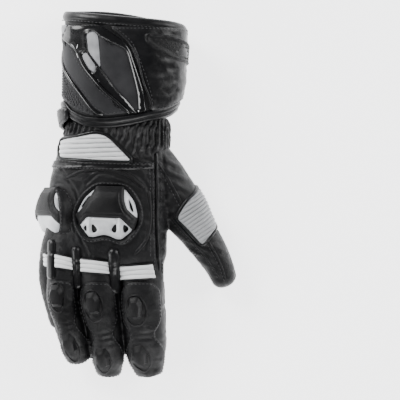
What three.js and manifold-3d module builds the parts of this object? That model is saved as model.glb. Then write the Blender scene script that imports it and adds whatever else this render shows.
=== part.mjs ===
// A right-hand motorcycle gauntlet lying palm down, in millimetres.
// +X is the thumb side, +Y runs from the fingertips to the cuff mouth and +Z is up from the surface
// that it lies on.
// The origin is the middle of the flat underside of the palm slider.
import * as THREE from "three";
import { mergeVertices } from "three/addons/utils/BufferGeometryUtils.js";
import Module from "manifold-3d";

const wasm = await Module();
wasm.setup();

// Driving sizes
const PALM_WIDTH = 106;
const PALM_LENGTH = 128;
const PALM_DEPTH = 50;
const FINGER_LENGTH = 90;
const FINGER_WIDTH = 39;
const FINGER_DEPTH = 33;
const THUMB_LENGTH = 140;
const THUMB_WIDTH = 40;
const THUMB_DEPTH = 34;
const THUMB_ANGLE = 30.6;
const CUFF_LENGTH = 86;
const CUFF_WIDTH = 104;
const CUFF_DEPTH = 57;
const GUARD_WIDTH = 53;
const GUARD_LENGTH = 51;
const GUARD_HEIGHT = 10;
const SIDE_GUARD_SHARE = 0.9;
const SLIDER_WIDTH = 13;
const SLIDER_LENGTH = 20;
const SLIDER_HEIGHT = 6;

// Walls, seats and layers
const WALL = 2.2;
const GAP = 0.3;
const LEATHER = 1.6;
const RIB_BASE = 0.9;
const RIB_RISE = 1.3;
const ARMOUR = 1.8;
const PIPING = 2.6;
const FLAP = 2.2;
const STRAP = 2;
const RIM = 2.4;
const RIM_LENGTH = 7;
const PAD = 3.4;
const PALM_PAD = 5;
const TAB = 1.6;
const SEAM_GAP = 0.3;
// The cuff's frame and the guard's surround stand this much prouder than the panels beside them
const PROUD = 1.4;
// How far a panel runs past an edge that another piece covers
const LAP = 1;

// Where the lengths meet
const CROTCH_Y = -0.484 * PALM_LENGTH;
const HEM_Y = 0.516 * PALM_LENGTH;
const WRIST_OVERLAP = 12;

// Corner radii of the outlines
const CORNER = { sharp: 0.01, crisp: 0.4, tight: 1.5, plain: 2, soft: 3, wide: 4, full: 6 };
// Rings of a stall's round tip, in degrees from its widest ring
const TIP_ANGLES = [34, 66];
const RIB_SHARE = 0.68;

// How round the sections are: 2 is an ellipse, more is boxier
const HAND_POWER = 2.5;
const CUFF_POWER = 2.4;
const FINGER_POWER = 2.15;
const HAND_SIDES = 16;
const CUFF_SIDES = 16;
const FINGER_SIDES = 8;

// Sections of the hand: y in shares of PALM_LENGTH, centre and half in shares of PALM_WIDTH,
// low, high and tilt in shares of PALM_DEPTH. Tilt lowers the little finger's side of the back.
const HAND = [
  { y: 0.664, centre: -0.024, half: 0.382, low: 0.16, high: 0.9, tilt: 0 },
  { y: 0.352, centre: -0.049, half: 0.437, low: 0.1, high: 0.95, tilt: 0.02 },
  { y: 0.234, centre: -0.068, half: 0.464, low: 0.075, high: 0.97, tilt: 0.03 },
  { y: -0.04, centre: -0.097, half: 0.484, low: 0.07, high: 0.99, tilt: 0.07 },
  { y: -0.195, centre: -0.111, half: 0.489, low: 0.08, high: 1, tilt: 0.09 },
  { y: -0.328, centre: -0.13, half: 0.503, low: 0.12, high: 0.99, tilt: 0.1 },
  { y: -0.47, centre: -0.057, half: 0.387, low: 0.3, high: 0.82, tilt: 0.08 },
];

// Sections of the cuff from its hem: at in shares of CUFF_LENGTH, centre and half in shares of
// CUFF_WIDTH, low and high in shares of CUFF_DEPTH
const CUFF = [
  { at: -0.02, centre: -0.019, half: 0.436, low: 0.092, high: 0.846 },
  { at: 0.22, centre: 0.005, half: 0.475, low: 0.06, high: 0.92 },
  { at: 0.55, centre: 0.033, half: 0.49, low: 0.055, high: 0.97 },
  { at: 0.8, centre: 0.04, half: 0.492, low: 0.055, high: 0.99 },
];

// Sections of each finger stall: along in shares of FINGER_LENGTH from the crotch, x in shares of
// PALM_WIDTH, half in shares of FINGER_WIDTH, z and deep in shares of FINGER_DEPTH.
// upper and lower are the sliders' places in shares of the stall's own reach.
const FINGERS = {
  index: {
    cut: 0.02,
    reach: 1,
    tip: 9,
    sliders: { upper: 0.322, lower: 0.77 },
    rows: [
      { along: -0.522, x: 0.142, half: 0.41, z: 0.818, deep: 0.455 },
      { along: -0.133, x: 0.165, half: 0.495, z: 0.894, deep: 0.5 },
      { along: 0.2, x: 0.172, half: 0.495, z: 0.873, deep: 0.494 },
      { along: 0.478, x: 0.189, half: 0.477, z: 0.742, deep: 0.448 },
      { along: 0.689, x: 0.208, half: 0.436, z: 0.56, deep: 0.424 },
      { along: 0.9, x: 0.226, half: 0.3, z: 0.345, deep: 0.345 },
    ],
  },
  middle: {
    cut: 0.02,
    reach: 1,
    tip: 9,
    sliders: { upper: 0.274, lower: 0.79 },
    rows: [
      { along: -0.522, x: -0.16, half: 0.4, z: 0.88, deep: 0.455 },
      { along: -0.133, x: -0.175, half: 0.42, z: 0.955, deep: 0.515 },
      { along: 0.2, x: -0.178, half: 0.42, z: 0.93, deep: 0.485 },
      { along: 0.478, x: -0.15, half: 0.35, z: 0.79, deep: 0.44 },
      { along: 0.689, x: -0.121, half: 0.335, z: 0.6, deep: 0.42 },
      { along: 0.9, x: -0.11, half: 0.24, z: 0.345, deep: 0.34 },
    ],
  },
  ring: {
    cut: 0.02,
    reach: 0.855,
    tip: 8,
    sliders: { upper: 0.243, lower: 0.76 },
    rows: [
      { along: -0.522, x: -0.396, half: 0.333, z: 0.818, deep: 0.394 },
      { along: -0.133, x: -0.453, half: 0.333, z: 1, deep: 0.394 },
      { along: 0, x: -0.462, half: 0.328, z: 1.02, deep: 0.37 },
      { along: 0.2, x: -0.465, half: 0.323, z: 0.995, deep: 0.355 },
      { along: 0.478, x: -0.41, half: 0.315, z: 0.894, deep: 0.333 },
      { along: 0.667, x: -0.368, half: 0.3, z: 0.636, deep: 0.333 },
      { along: 0.767, x: -0.344, half: 0.256, z: 0.485, deep: 0.318 },
    ],
  },
  little: {
    cut: -0.04,
    reach: 0.544,
    tip: 8,
    rows: [
      { along: -0.522, x: -0.49, half: 0.2, z: 0.485, deep: 0.25 },
      { along: -0.189, x: -0.547, half: 0.282, z: 0.364, deep: 0.333 },
      { along: -0.022, x: -0.557, half: 0.287, z: 0.33, deep: 0.295 },
      { along: 0.156, x: -0.547, half: 0.282, z: 0.31, deep: 0.295 },
      { along: 0.311, x: -0.519, half: 0.269, z: 0.291, deep: 0.285 },
      { along: 0.456, x: -0.495, half: 0.238, z: 0.261, deep: 0.267 },
    ],
  },
};

// Sections of the thumb stall: along in shares of THUMB_LENGTH from its root in the palm, off (to the
// outer side) and half in shares of THUMB_WIDTH, z and deep in shares of THUMB_DEPTH
const THUMB_ROOT = { x: 0.189, y: 0.352 };
const THUMB_CUT = 0.5;
const THUMB_TIP = 9;
const THUMB = [
  { along: 0, off: 0, half: 0.4, z: 0.706, deep: 0.44 },
  { along: 0.2, off: 0.05, half: 0.45, z: 0.7, deep: 0.5 },
  { along: 0.43, off: 0.04, half: 0.5, z: 0.62, deep: 0.485 },
  { along: 0.636, off: 0.077, half: 0.395, z: 0.52, deep: 0.43 },
  { along: 0.846, off: 0.095, half: 0.32, z: 0.4, deep: 0.385 },
  { along: 0.93, off: 0.05, half: 0.275, z: 0.345, deep: 0.345 },
];

// Plan outlines on the hand, as [x, y] in shares of PALM_WIDTH and PALM_LENGTH
const BACK_PANEL = [
  [-0.465, 0.398],
  [-0.321, 0.415],
  [-0.2, 0.438],
  [-0.128, 0.428],
  [-0.08, 0.405],
  [0, 0.339],
  [0.098, 0.255],
  [-0.16, 0.262],
  [-0.473, 0.279],
  [-0.477, 0.332],
];
const BACK_HEM = [
  [-0.6, 0.262],
  [-0.473, 0.268],
  [-0.16, 0.251],
  [0.104, 0.243],
  [0.277, 0.25],
  [0.277, 0.206],
  [-0.12, 0.193],
  [-0.62, 0.215],
];
const SIDE_SEAM = [
  [0.285, 0.318],
  [0.302, 0.318],
  [0.306, -0.1],
  [0.322, -0.5],
  [0.304, -0.5],
  [0.288, -0.1],
];
const STRIPS = {
  index: [
    [-0.003, -0.429],
    [0.261, -0.42],
    [0.284, -0.515],
    [0.008, -0.529],
  ],
  middle: [
    [-0.313, -0.382],
    [-0.087, -0.404],
    [-0.082, -0.487],
    [-0.307, -0.472],
  ],
  ring: [
    [-0.512, -0.357],
    [-0.375, -0.379],
    [-0.375, -0.461],
    [-0.512, -0.444],
  ],
  little: [
    [-0.64, -0.345],
    [-0.564, -0.362],
    [-0.568, -0.444],
    [-0.645, -0.43],
  ],
};
// Padded bridges in the valleys between the fingers, from the back of the hand down to the stalls
const BRIDGES = {
  index: { from: [-0.046, -0.352], to: [-0.026, -0.585], half: 0.04 },
  middle: { from: [-0.346, -0.331], to: [-0.335, -0.56], half: 0.032 },
  ring: { from: [-0.537, -0.284], to: [-0.54, -0.5], half: 0.024 },
};
const BRIDGE_RISE = 2.6;
// How low these pieces reach down the side of the hand, in shares of PALM_DEPTH
const LOW_EDGE = { bridge: 0.62, strip: 0.5, back_hem: 0.35, gather: 0.31, heel: 0.3 };
const PALM_SLIDER = [
  [0.062, 0.294],
  [-0.052, 0.252],
  [-0.071, 0.189],
  [-0.038, 0.148],
  [0.189, 0.047],
  [0.22, 0.069],
  [0.233, 0.127],
  [0.226, 0.199],
  [0.151, 0.263],
];
const HEEL_SLIDER = [
  [-0.203, 0.273],
  [-0.255, 0.325],
  [-0.34, 0.352],
  [-0.453, 0.336],
  [-0.6, 0.3],
  [-0.62, 0.03],
  [-0.53, 0.02],
  [-0.44, 0.117],
  [-0.255, 0.2],
];
const GRIP_PATCH = [
  [0.33, -0.14],
  [0.207, -0.21],
  [0.075, -0.266],
  [-0.113, -0.227],
  [-0.264, -0.195],
  [-0.396, -0.25],
  [-0.46, -0.36],
  [-0.3, -0.4],
  [0.05, -0.41],
  [0.33, -0.4],
];
const STRAP_PALM = [
  [0.113, 0.5625],
  [0.113, 0.422],
  [-0.7, 0.469],
  [-0.7, 0.61],
];
const STRAP_BACK = [
  [-0.7, 0.61],
  [-0.7, 0.469],
  [-0.42, 0.484],
  [-0.42, 0.615],
];
const STRAP_TAB = [
  [0.28, 0.6],
  [0.135, 0.6],
  [0.135, 0.445],
  [0.27, 0.437],
];

// Plan outlines on the cuff, as [x, y] in shares of CUFF_WIDTH and of CUFF_LENGTH from the hem
const HEM_CURVE = [
  [-0.62, 0.17],
  [-0.46, 0.142],
  [-0.367, 0.043],
  [-0.245, -0.018],
  [-0.1, -0.03],
  [0.08, -0.005],
  [0.221, 0.033],
  [0.4, 0.09],
  [0.49, 0.16],
  [0.62, 0.2],
];
const HEM_BAND = 0.05;
const FRAME = [
  [-0.6, 0.945],
  [-0.163, 0.945],
  [-0.098, 0.9],
  [0.049, 0.77],
  [0.088, 0.7],
  [0.218, 0.1],
  [0.1, 0.075],
  [-0.105, 0.3],
  [-0.254, 0.513],
  [-0.366, 0.751],
  [-0.46, 0.92],
  [-0.6, 0.935],
];
const PLATE_HOLE = [
  [-0.263, 0.86],
  [-0.2, 0.885],
  [-0.163, 0.83],
  [0.054, 0.7],
  [0.075, 0.64],
  [0.16, 0.11],
  [0.135, 0.1],
  [-0.035, 0.33],
  [-0.19, 0.585],
  [-0.25, 0.69],
];
const WINDOW_EDGE = [
  [-0.163, 0.83],
  [-0.142, 0.545],
];
const LOWER_WINDOW = [
  [-0.302, 0.645],
  [-0.266, 0.685],
  [-0.184, 0.542],
  [-0.196, 0.468],
  [-0.245, 0.515],
];
const STRIPE = [
  [-0.6, 0.9],
  [-0.478, 0.9],
  [-0.386, 0.751],
  [-0.274, 0.513],
  [-0.125, 0.3],
  [0.07, 0.085],
  [-0.11, 0.06],
  [-0.2, 0.12],
  [-0.34, 0.343],
  [-0.44, 0.55],
  [-0.6, 0.75],
];
const UPPER_PIPING = [
  [-0.6, 0.93],
  [-0.468, 0.91],
  [-0.376, 0.751],
  [-0.264, 0.513],
  [-0.115, 0.3],
];
const LOWER_PIPING = [
  [-0.6, 0.735],
  [-0.44, 0.535],
  [-0.35, 0.343],
  [-0.21, 0.12],
  [-0.13, 0.065],
];
const PIPING_HALF = 0.008;
const MESH_BACK = [
  [-0.7, 0.72],
  [-0.6, 0.72],
  [-0.45, 0.52],
  [-0.36, 0.33],
  [-0.22, 0.11],
  [-0.2, 0.055],
  [-0.35, 0.12],
  [-0.44, 0.22],
  [-0.7, 0.24],
];
const MESH_PALM = [
  [-0.09, 0.68],
  [-0.2, 0.76],
  [-0.7, 0.84],
  [-0.7, 0.24],
  [-0.47, 0.24],
];
const PALM_RIBS = [
  [0.019, 0.605],
  [-0.067, 0.66],
  [-0.45, 0.215],
  [-0.442, 0.12],
  [-0.365, 0.12],
];
const PALM_PLATE = [
  [0.038, 0.55],
  [-0.005, 0.56],
  [-0.34, 0.13],
  [0.038, 0.13],
];
const FLAP_BACK = [
  [-0.085, 0.93],
  [0.062, 0.79],
  [0.105, 0.71],
  [0.245, 0.1],
  [0.372, 0.125],
  [0.49, 0.2],
  [0.7, 0.25],
  [0.7, 0.93],
];
const FLAP_PALM = [
  [0.05, 0.93],
  [0.055, 0.85],
  [0.095, 0.69],
  [0.16, 0.5],
  [0.285, 0.37],
  [0.452, 0.26],
  [0.7, 0.25],
  [0.7, 0.93],
];
const FLAP_PATCH = [
  [0.21, 0.87],
  [0.2, 0.78],
  [0.26, 0.72],
  [0.44, 0.6],
  [0.62, 0.56],
  [0.62, 0.74],
  [0.4, 0.84],
];

// Rings of the mouth's roll: grow in shares of RIM, beyond in shares of RIM_LENGTH
const RIM_OUTSIDE = [
  { grow: 0.5, beyond: -1 },
  { grow: 1, beyond: -0.4 },
];
const RIM_INSIDE = [
  { grow: -0.3, beyond: -1 },
  { grow: -0.7, beyond: -0.4 },
];

// Ribs of each ribbed panel: how many, their turn in degrees, the middle of the set and the pitch
// in shares of the panel's own part of the glove
const BACK_RIBS = { count: 6, turn: 2, x: -0.2, y: 0.345, pitch: 0.03 };
const CUFF_RIBS = { count: 4, turn: 46, x: -0.25, y: 0.37, pitch: 0.043 };
const THUMB_RIBS = { count: 5, row: 3, pitch: 0.057 };
const STRIP_RIBS = 2;

// Wrist gathers: rows of one band whose surface rises and falls in folds, at in shares of
// PALM_LENGTH and deep in shares of the folds' rise
const GATHER_FOLDS = 14;
const GATHER_RISE = 1.1;
const GATHER_BASE = 1.2;
const GATHERS = [
  { at: 0.6, deep: 0.2 },
  { at: 0.5, deep: 1 },
  { at: 0.41, deep: 1 },
  { at: 0.325, deep: 0.3 },
];

// Where each guard sits: x, y and z in shares of the palm's sizes, turns in degrees. Tilt leans it
// to the little finger's side and pitch leans it towards the fingertips. deep is how far its edge
// reaches down, in shares of its height.
const GUARD_PLACE = { x: -0.094, y: -0.078, z: 0.94, tilt: 6, pitch: 2, spin: 0, deep: 0.7 };
const SIDE_GUARD_PLACE = { x: -0.532, y: -0.068, z: 0.575, tilt: 57, pitch: 0, spin: 4, deep: 1.2 };
const GUARD_PEAK = [0, -0.1];
const SURROUND = { outer: 1.22, inner: 1.1 };
const SLIDER_ACROSS = -0.28;
const SLIDER_TILT = 16;

// Guard outlines about the guard's own centre, as [x, y] in shares of its width and length
const GUARD_RIM = [
  [-0.147, 0.42],
  [-0.356, 0.245],
  [-0.49, -0.02],
  [-0.42, -0.27],
  [-0.276, -0.447],
  [-0.02, -0.38],
  [0.208, -0.49],
  [0.397, -0.32],
  [0.49, -0.08],
  [0.437, 0.17],
  [0.27, 0.4],
];
const GUARD_SHIELD = [
  [-0.15, 0.405],
  [0.265, 0.38],
  [0.274, 0.178],
  [0.325, 0.053],
  [0.45, -0.138],
  [0.385, -0.29],
  [0.237, -0.105],
  [-0.316, -0.088],
  [-0.42, -0.23],
  [-0.45, -0.04],
  [-0.188, 0.34],
];
const GUARD_SLOTS = [
  [
    [-0.27, 0.27],
    [-0.36, 0.15],
    [-0.42, 0.02],
    [-0.2, 0.33],
  ],
  [
    [0.33, 0.24],
    [0.4, 0.1],
    [0.44, -0.06],
    [0.35, 0.06],
  ],
];
const GUARD_VENTS = [
  [
    [-0.31, -0.2],
    [-0.31, -0.33],
    [-0.385, -0.26],
  ],
  [
    [-0.22, -0.17],
    [-0.22, -0.33],
    [-0.13, -0.28],
  ],
  [
    [0.16, -0.17],
    [0.16, -0.33],
    [0.08, -0.28],
  ],
  [
    [0.26, -0.2],
    [0.26, -0.34],
    [0.35, -0.27],
  ],
];
const GUARD_DOME = [
  { share: 1, rise: -0.7 },
  { share: 1, rise: 0.35 },
  { share: 0.84, rise: 0.72 },
  { share: 0.4, rise: 1 },
];
const SLIDER_RIM = [
  [-0.3, 0.46],
  [0.3, 0.46],
  [0.5, 0.15],
  [0.3, -0.46],
  [-0.3, -0.46],
  [-0.5, 0.15],
];
const SLIDER_DOME = [
  { share: 1, rise: -0.9 },
  { share: 1, rise: 0.3 },
  { share: 0.72, rise: 1 },
];
// The hourglass overlay of a finger: left and right edges in shares of the stall's half width
const OVERLAY = [
  { at: 0.075, left: -0.62, right: 0.52 },
  { at: 0.17, left: -0.86, right: 0.82 },
  { at: 0.42, left: -0.86, right: 0.82 },
  { at: 0.54, left: -0.6, right: 0.42 },
  { at: 0.67, left: -0.86, right: 0.82 },
  { at: 0.86, left: -1, right: 0.96 },
  { at: 1.2, left: -1.1, right: 1.1 },
];
// How far past the tip the overlay's lower edge is drawn, and how much it drops there
const OVERLAY_TIP = { beyond: 0.2, drop: 0.12 };
const THUMB_PANEL = [
  { along: 0.46, across: -0.39 },
  { along: 0.405, across: 0.4 },
  { along: 0.37, across: 1.3 },
  { along: 0.62, across: 1.3 },
  { along: 0.66, across: 0.4 },
  { along: 0.678, across: -0.21 },
  { along: 0.56, across: -0.28 },
];

const MATERIALS = {
  leather: { color: 0x17171a, roughness: 0.55, metalness: 0 },
  lining: { color: 0x101012, roughness: 0.9, metalness: 0 },
  stretch_white: { color: 0xd9dadb, roughness: 0.7, metalness: 0 },
  stretch_grey: { color: 0x8b8c8f, roughness: 0.75, metalness: 0 },
  gloss_black: { color: 0x0b0b0d, roughness: 0.18, metalness: 0 },
  charcoal: { color: 0x38383b, roughness: 0.6, metalness: 0 },
  reflective: { color: 0x9d9ea1, roughness: 0.4, metalness: 0 },
  mesh: { color: 0x1d1d20, roughness: 0.8, metalness: 0 },
  silver: { color: 0xc4c6c9, roughness: 0.35, metalness: 0.2 },
  hard_black: { color: 0x1f1f22, roughness: 0.4, metalness: 0 },
};

// Solids from geometry, and back

function solid(geometry) {
  const bare = new THREE.BufferGeometry();
  const source = geometry.index ? geometry.toNonIndexed() : geometry;
  bare.setAttribute("position", source.getAttribute("position").clone());
  const merged = mergeVertices(bare, 1e-4);
  const triVerts = new Uint32Array(merged.index.array);
  const made = new wasm.Manifold(
    new wasm.Mesh({ numProp: 3, vertProperties: merged.attributes.position.array, triVerts }),
  );
  if (made.volume() > 0) return made;
  for (let i = 0; i < triVerts.length; i += 3) {
    [triVerts[i + 1], triVerts[i + 2]] = [triVerts[i + 2], triVerts[i + 1]];
  }
  return new wasm.Manifold(
    new wasm.Mesh({ numProp: 3, vertProperties: merged.attributes.position.array, triVerts }),
  );
}

function geometryOf(made) {
  const mesh = made.getMesh();
  const points = new Float32Array(mesh.numVert * 3);
  for (let i = 0; i < mesh.numVert; i++) {
    points.set(mesh.vertProperties.subarray(i * mesh.numProp, i * mesh.numProp + 3), i * 3);
  }
  const geometry = new THREE.BufferGeometry();
  geometry.setAttribute("position", new THREE.BufferAttribute(points, 3));
  geometry.setIndex(new THREE.BufferAttribute(new Uint32Array(mesh.triVerts), 1));
  geometry.computeVertexNormals();
  return geometry;
}

// The largest body of a cut solid: an outline that runs past the edge of a form can leave crumbs
function largest(made) {
  return made.decompose().reduce((a, b) => (b.volume() > a.volume() ? b : a));
}

function union(solids) {
  return solids.reduce((a, b) => a.add(b));
}

// Lofts through rings of points, with flat ends

function loft(rings) {
  const sides = rings[0].length;
  const points = [];
  const quad = (a, b, c, d) => points.push(a, b, c, a, c, d);
  for (let r = 0; r + 1 < rings.length; r++) {
    for (let s = 0; s < sides; s++) {
      const next = (s + 1) % sides;
      quad(rings[r][s], rings[r][next], rings[r + 1][next], rings[r + 1][s]);
    }
  }
  for (const [ring, front] of [
    [rings[0], true],
    [rings.at(-1), false],
  ]) {
    const middle = ring
      .reduce((sum, p) => sum.add(p), new THREE.Vector3())
      .divideScalar(sides);
    for (let s = 0; s < sides; s++) {
      const next = ring[(s + 1) % sides];
      if (front) points.push(middle, next, ring[s]);
      else points.push(middle, ring[s], next);
    }
  }
  return new THREE.BufferGeometry().setFromPoints(points);
}

// One superellipse ring about centre, in the plane of side and up. A number of sides that
// divides by four puts a flat at each of its extremes.
function ring({ centre, side, up, half, rise, drop, power, sides, tilt = 0 }) {
  const points = [];
  const rounded = (v) => Math.sign(v) * Math.abs(v) ** (2 / power);
  const flat = rounded(Math.cos(Math.PI / sides));
  for (let s = 0; s < sides; s++) {
    const angle = (2 * Math.PI * (s + 0.5)) / sides;
    const across = rounded(Math.cos(angle)) / flat;
    const height = rounded(Math.sin(angle)) / flat;
    const lift = (height > 0 ? rise : drop) * height + tilt * across * Math.max(height, 0);
    points.push(
      centre
        .clone()
        .addScaledVector(side, across * half)
        .addScaledVector(up, lift),
    );
  }
  return points;
}

const X_AXIS = new THREE.Vector3(1, 0, 0);
const Z_AXIS = new THREE.Vector3(0, 0, 1);
const SECTION_MIDDLE = 0.45;

function section({ y, centre, half, low, high, tilt, grow, power, sides }) {
  const middle = low + (high - low) * SECTION_MIDDLE;
  return ring({
    centre: new THREE.Vector3(centre, y, middle),
    side: X_AXIS,
    up: Z_AXIS,
    half: half + grow,
    rise: high - middle + grow,
    drop: middle - low + grow,
    tilt,
    power,
    sides,
  });
}

function handForm(grow) {
  const rings = HAND.map((row, i) =>
    section({
      y: row.y * PALM_LENGTH - (i === HAND.length - 1 ? grow : 0),
      centre: row.centre * PALM_WIDTH,
      half: row.half * PALM_WIDTH,
      low: row.low * PALM_DEPTH,
      high: row.high * PALM_DEPTH,
      tilt: row.tilt * PALM_DEPTH,
      grow,
      power: HAND_POWER,
      sides: HAND_SIDES,
    }),
  );
  return solid(loft(rings));
}

// A tube through rows of centre, half and deep, closed by a round tip
function stallForm(rows, tip, grow) {
  const rings = [];
  const frame = (i) => {
    const before = rows[Math.max(i - 1, 0)].centre;
    const after = rows[Math.min(i + 1, rows.length - 1)].centre;
    const ahead = after.clone().sub(before).normalize();
    const side = Z_AXIS.clone().cross(ahead).normalize();
    return { ahead, side, up: ahead.clone().cross(side) };
  };
  const place = (row, { side, up }, centre, share) =>
    rings.push(
      ring({
        centre,
        side,
        up,
        half: (row.half + grow) * share,
        rise: (row.deep + grow) * share,
        drop: (row.deep + grow) * share,
        power: FINGER_POWER,
        sides: FINGER_SIDES,
      }),
    );
  rows.forEach((row, i) => place(row, frame(i), row.centre, 1));
  const last = rows.at(-1);
  const end = frame(rows.length - 1);
  for (const degrees of TIP_ANGLES) {
    const angle = THREE.MathUtils.degToRad(degrees);
    const centre = last.centre.clone().addScaledVector(end.ahead, Math.sin(angle) * (tip + grow));
    place(last, end, centre, Math.cos(angle));
  }
  return solid(loft(rings));
}

function fingerRows(name) {
  return FINGERS[name].rows.map((row) => ({
    centre: new THREE.Vector3(
      row.x * PALM_WIDTH,
      CROTCH_Y - row.along * FINGER_LENGTH,
      row.z * FINGER_DEPTH,
    ),
    half: row.half * FINGER_WIDTH,
    deep: row.deep * FINGER_DEPTH,
  }));
}

const thumbTurn = THREE.MathUtils.degToRad(THUMB_ANGLE);
const thumbAhead = new THREE.Vector3(Math.sin(thumbTurn), -Math.cos(thumbTurn), 0);
const thumbOut = new THREE.Vector3(Math.cos(thumbTurn), Math.sin(thumbTurn), 0);
const thumbRoot = new THREE.Vector3(THUMB_ROOT.x * PALM_WIDTH, THUMB_ROOT.y * PALM_LENGTH, 0);

function thumbRows() {
  return THUMB.map((row) => ({
    centre: thumbRoot
      .clone()
      .addScaledVector(thumbAhead, row.along * THUMB_LENGTH)
      .addScaledVector(thumbOut, row.off * THUMB_WIDTH)
      .setZ(row.z * THUMB_DEPTH),
    half: row.half * THUMB_WIDTH,
    deep: row.deep * THUMB_DEPTH,
  }));
}

const fingerForm = (name, grow) => stallForm(fingerRows(name), FINGERS[name].tip, grow);
const thumbForm = (grow) => stallForm(thumbRows(), THUMB_TIP, grow);

// How far the mouth lies from the hem at a point of the cuff: the palm side stands further out
function mouthShare(across, height) {
  const back = 1 - 0.103 * across;
  const palm = 1.08 - 0.1 * across - 0.3 * (across + 0.1) ** 2;
  return THREE.MathUtils.lerp(palm, back, THREE.MathUtils.clamp(height, 0, 1));
}

function cuffRing(row, grow, y) {
  return section({
    y,
    centre: row.centre * CUFF_WIDTH,
    half: row.half * CUFF_WIDTH,
    low: row.low * CUFF_DEPTH,
    high: row.high * CUFF_DEPTH,
    tilt: 0,
    grow,
    power: CUFF_POWER,
    sides: CUFF_SIDES,
  });
}

function mouthRing(grow, beyond) {
  const points = cuffRing(CUFF.at(-1), grow, 0);
  for (const p of points) {
    p.y = HEM_Y + mouthShare(p.x / CUFF_WIDTH, p.z / CUFF_DEPTH) * CUFF_LENGTH + beyond;
  }
  return points;
}

function cuffForm(grow, beyond = 0) {
  const rings = CUFF.map((row) => cuffRing(row, grow, HEM_Y + row.at * CUFF_LENGTH));
  return solid(loft([...rings, mouthRing(grow, beyond)]));
}

// Cutters

function block(low, high) {
  const size = high.clone().sub(low);
  const middle = low.clone().add(high).multiplyScalar(0.5);
  return solid(new THREE.BoxGeometry(size.x, size.y, size.z).translate(middle.x, middle.y, middle.z));
}

const FAR = 400;
const TALL = 120;
const aboveFloor = block(new THREE.Vector3(-FAR, -FAR, 0), new THREE.Vector3(FAR, FAR, TALL));

const beyondY = (y) => block(new THREE.Vector3(-FAR, -FAR, -TALL), new THREE.Vector3(FAR, y, TALL));

function outlineShape(points, round) {
  const corners = points.map(([x, y]) => new THREE.Vector2(x, y));
  const shape = new THREE.Shape();
  corners.forEach((corner, i) => {
    const before = corners.at(i - 1);
    const after = corners[(i + 1) % corners.length];
    const toward = (other) => {
      const reach = Math.min(round, corner.distanceTo(other) * 0.45);
      return corner.clone().add(other.clone().sub(corner).setLength(reach));
    };
    const entry = toward(before);
    const leave = toward(after);
    if (i === 0) shape.moveTo(entry.x, entry.y);
    else shape.lineTo(entry.x, entry.y);
    shape.quadraticCurveTo(corner.x, corner.y, leave.x, leave.y);
  });
  shape.closePath();
  return shape;
}

function prism(points, { round = CORNER.plain, low = -TALL, high = TALL, turns = 1 } = {}) {
  const geometry = new THREE.ExtrudeGeometry(outlineShape(points, round), {
    depth: high - low,
    bevelEnabled: false,
    curveSegments: turns,
  });
  return solid(geometry.translate(0, 0, low));
}

const onHand = (points) => points.map(([x, y]) => [x * PALM_WIDTH, y * PALM_LENGTH]);
const onCuff = (points) => points.map(([x, y]) => [x * CUFF_WIDTH, HEM_Y + y * CUFF_LENGTH]);

// The space above a line of [y, z] points, for pieces that lie on the upper side only
function above(line) {
  const shape = new THREE.Shape();
  shape.moveTo(line[0][0], line[0][1]);
  line.slice(1).forEach(([y, z]) => shape.lineTo(y, z));
  shape.lineTo(line.at(-1)[0], TALL);
  shape.lineTo(line[0][0], TALL);
  shape.closePath();
  const geometry = new THREE.ExtrudeGeometry(shape, { depth: 2 * FAR, bevelEnabled: false });
  geometry.rotateX(Math.PI / 2).rotateZ(Math.PI / 2).translate(-FAR, 0, 0);
  return solid(geometry);
}

const HAND_MIDDLE = 0.5 * PALM_DEPTH;
const CUFF_MIDDLE = 0.5 * CUFF_DEPTH;
// How low the back's layers reach down the little finger's side of the cuff
const SIDE_LOW = 0.35 * CUFF_DEPTH;

// A layer of a form, between two distances from its surface. The cuff's stops short of its rim.
const layer = (form, from, to) => form(to).subtract(form(from));
const handLayer = (from, to) => layer(handForm, from, to);
const thumbLayer = (from, to) => layer(thumbForm, from, to);
const cuffLayer = (from, to) => cuffForm(to, -RIM_LENGTH - GAP).subtract(cuffForm(from));

// Shells

const gloveForm = (grow) =>
  union([
    handForm(grow),
    thumbForm(grow),
    ...Object.keys(FINGERS).map((name) => fingerForm(name, grow)),
  ]);

const gloveLayer = (from, to) => layer(gloveForm, from, to);
const gloveSeat = gloveForm(GAP);
const gloveInside = gloveForm(-WALL);
const fingerCut = (name, gap) => beyondY(CROTCH_Y - FINGERS[name].cut * FINGER_LENGTH - gap);

function thumbCut(gap) {
  const reach = THUMB_CUT * THUMB_LENGTH + gap;
  const geometry = new THREE.BoxGeometry(FAR, FAR, FAR).translate(0, -FAR / 2 - reach, 0);
  geometry.rotateZ(thumbTurn).translate(thumbRoot.x, thumbRoot.y, 0);
  return solid(geometry);
}

function handShell() {
  const wristEnd = HEM_Y + WRIST_OVERLAP;
  let made = handForm(0);
  for (const name of Object.keys(FINGERS)) {
    made = made.add(fingerForm(name, 0).subtract(fingerCut(name, 0)));
  }
  made = made.add(thumbForm(0).subtract(thumbCut(0)));
  const open = block(new THREE.Vector3(-FAR, wristEnd, -TALL), new THREE.Vector3(FAR, FAR, TALL));
  return largest(made.subtract(gloveInside).subtract(open).intersect(aboveFloor));
}

// The finger that each stall keeps clear of
const BESIDE = { middle: "index", ring: "middle", little: "ring" };

function fingerShell(name) {
  const beyond = fingerCut(name, SEAM_GAP);
  let wall = fingerForm(name, 0).intersect(beyond).subtract(fingerForm(name, -WALL));
  if (BESIDE[name]) wall = wall.subtract(fingerForm(BESIDE[name], SEAM_GAP));
  return largest(wall.subtract(handForm(SEAM_GAP)).intersect(aboveFloor));
}

function thumbShell() {
  const wall = thumbForm(0).intersect(thumbCut(SEAM_GAP)).subtract(thumbForm(-WALL));
  return largest(wall.subtract(handForm(SEAM_GAP)).intersect(aboveFloor));
}

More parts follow.
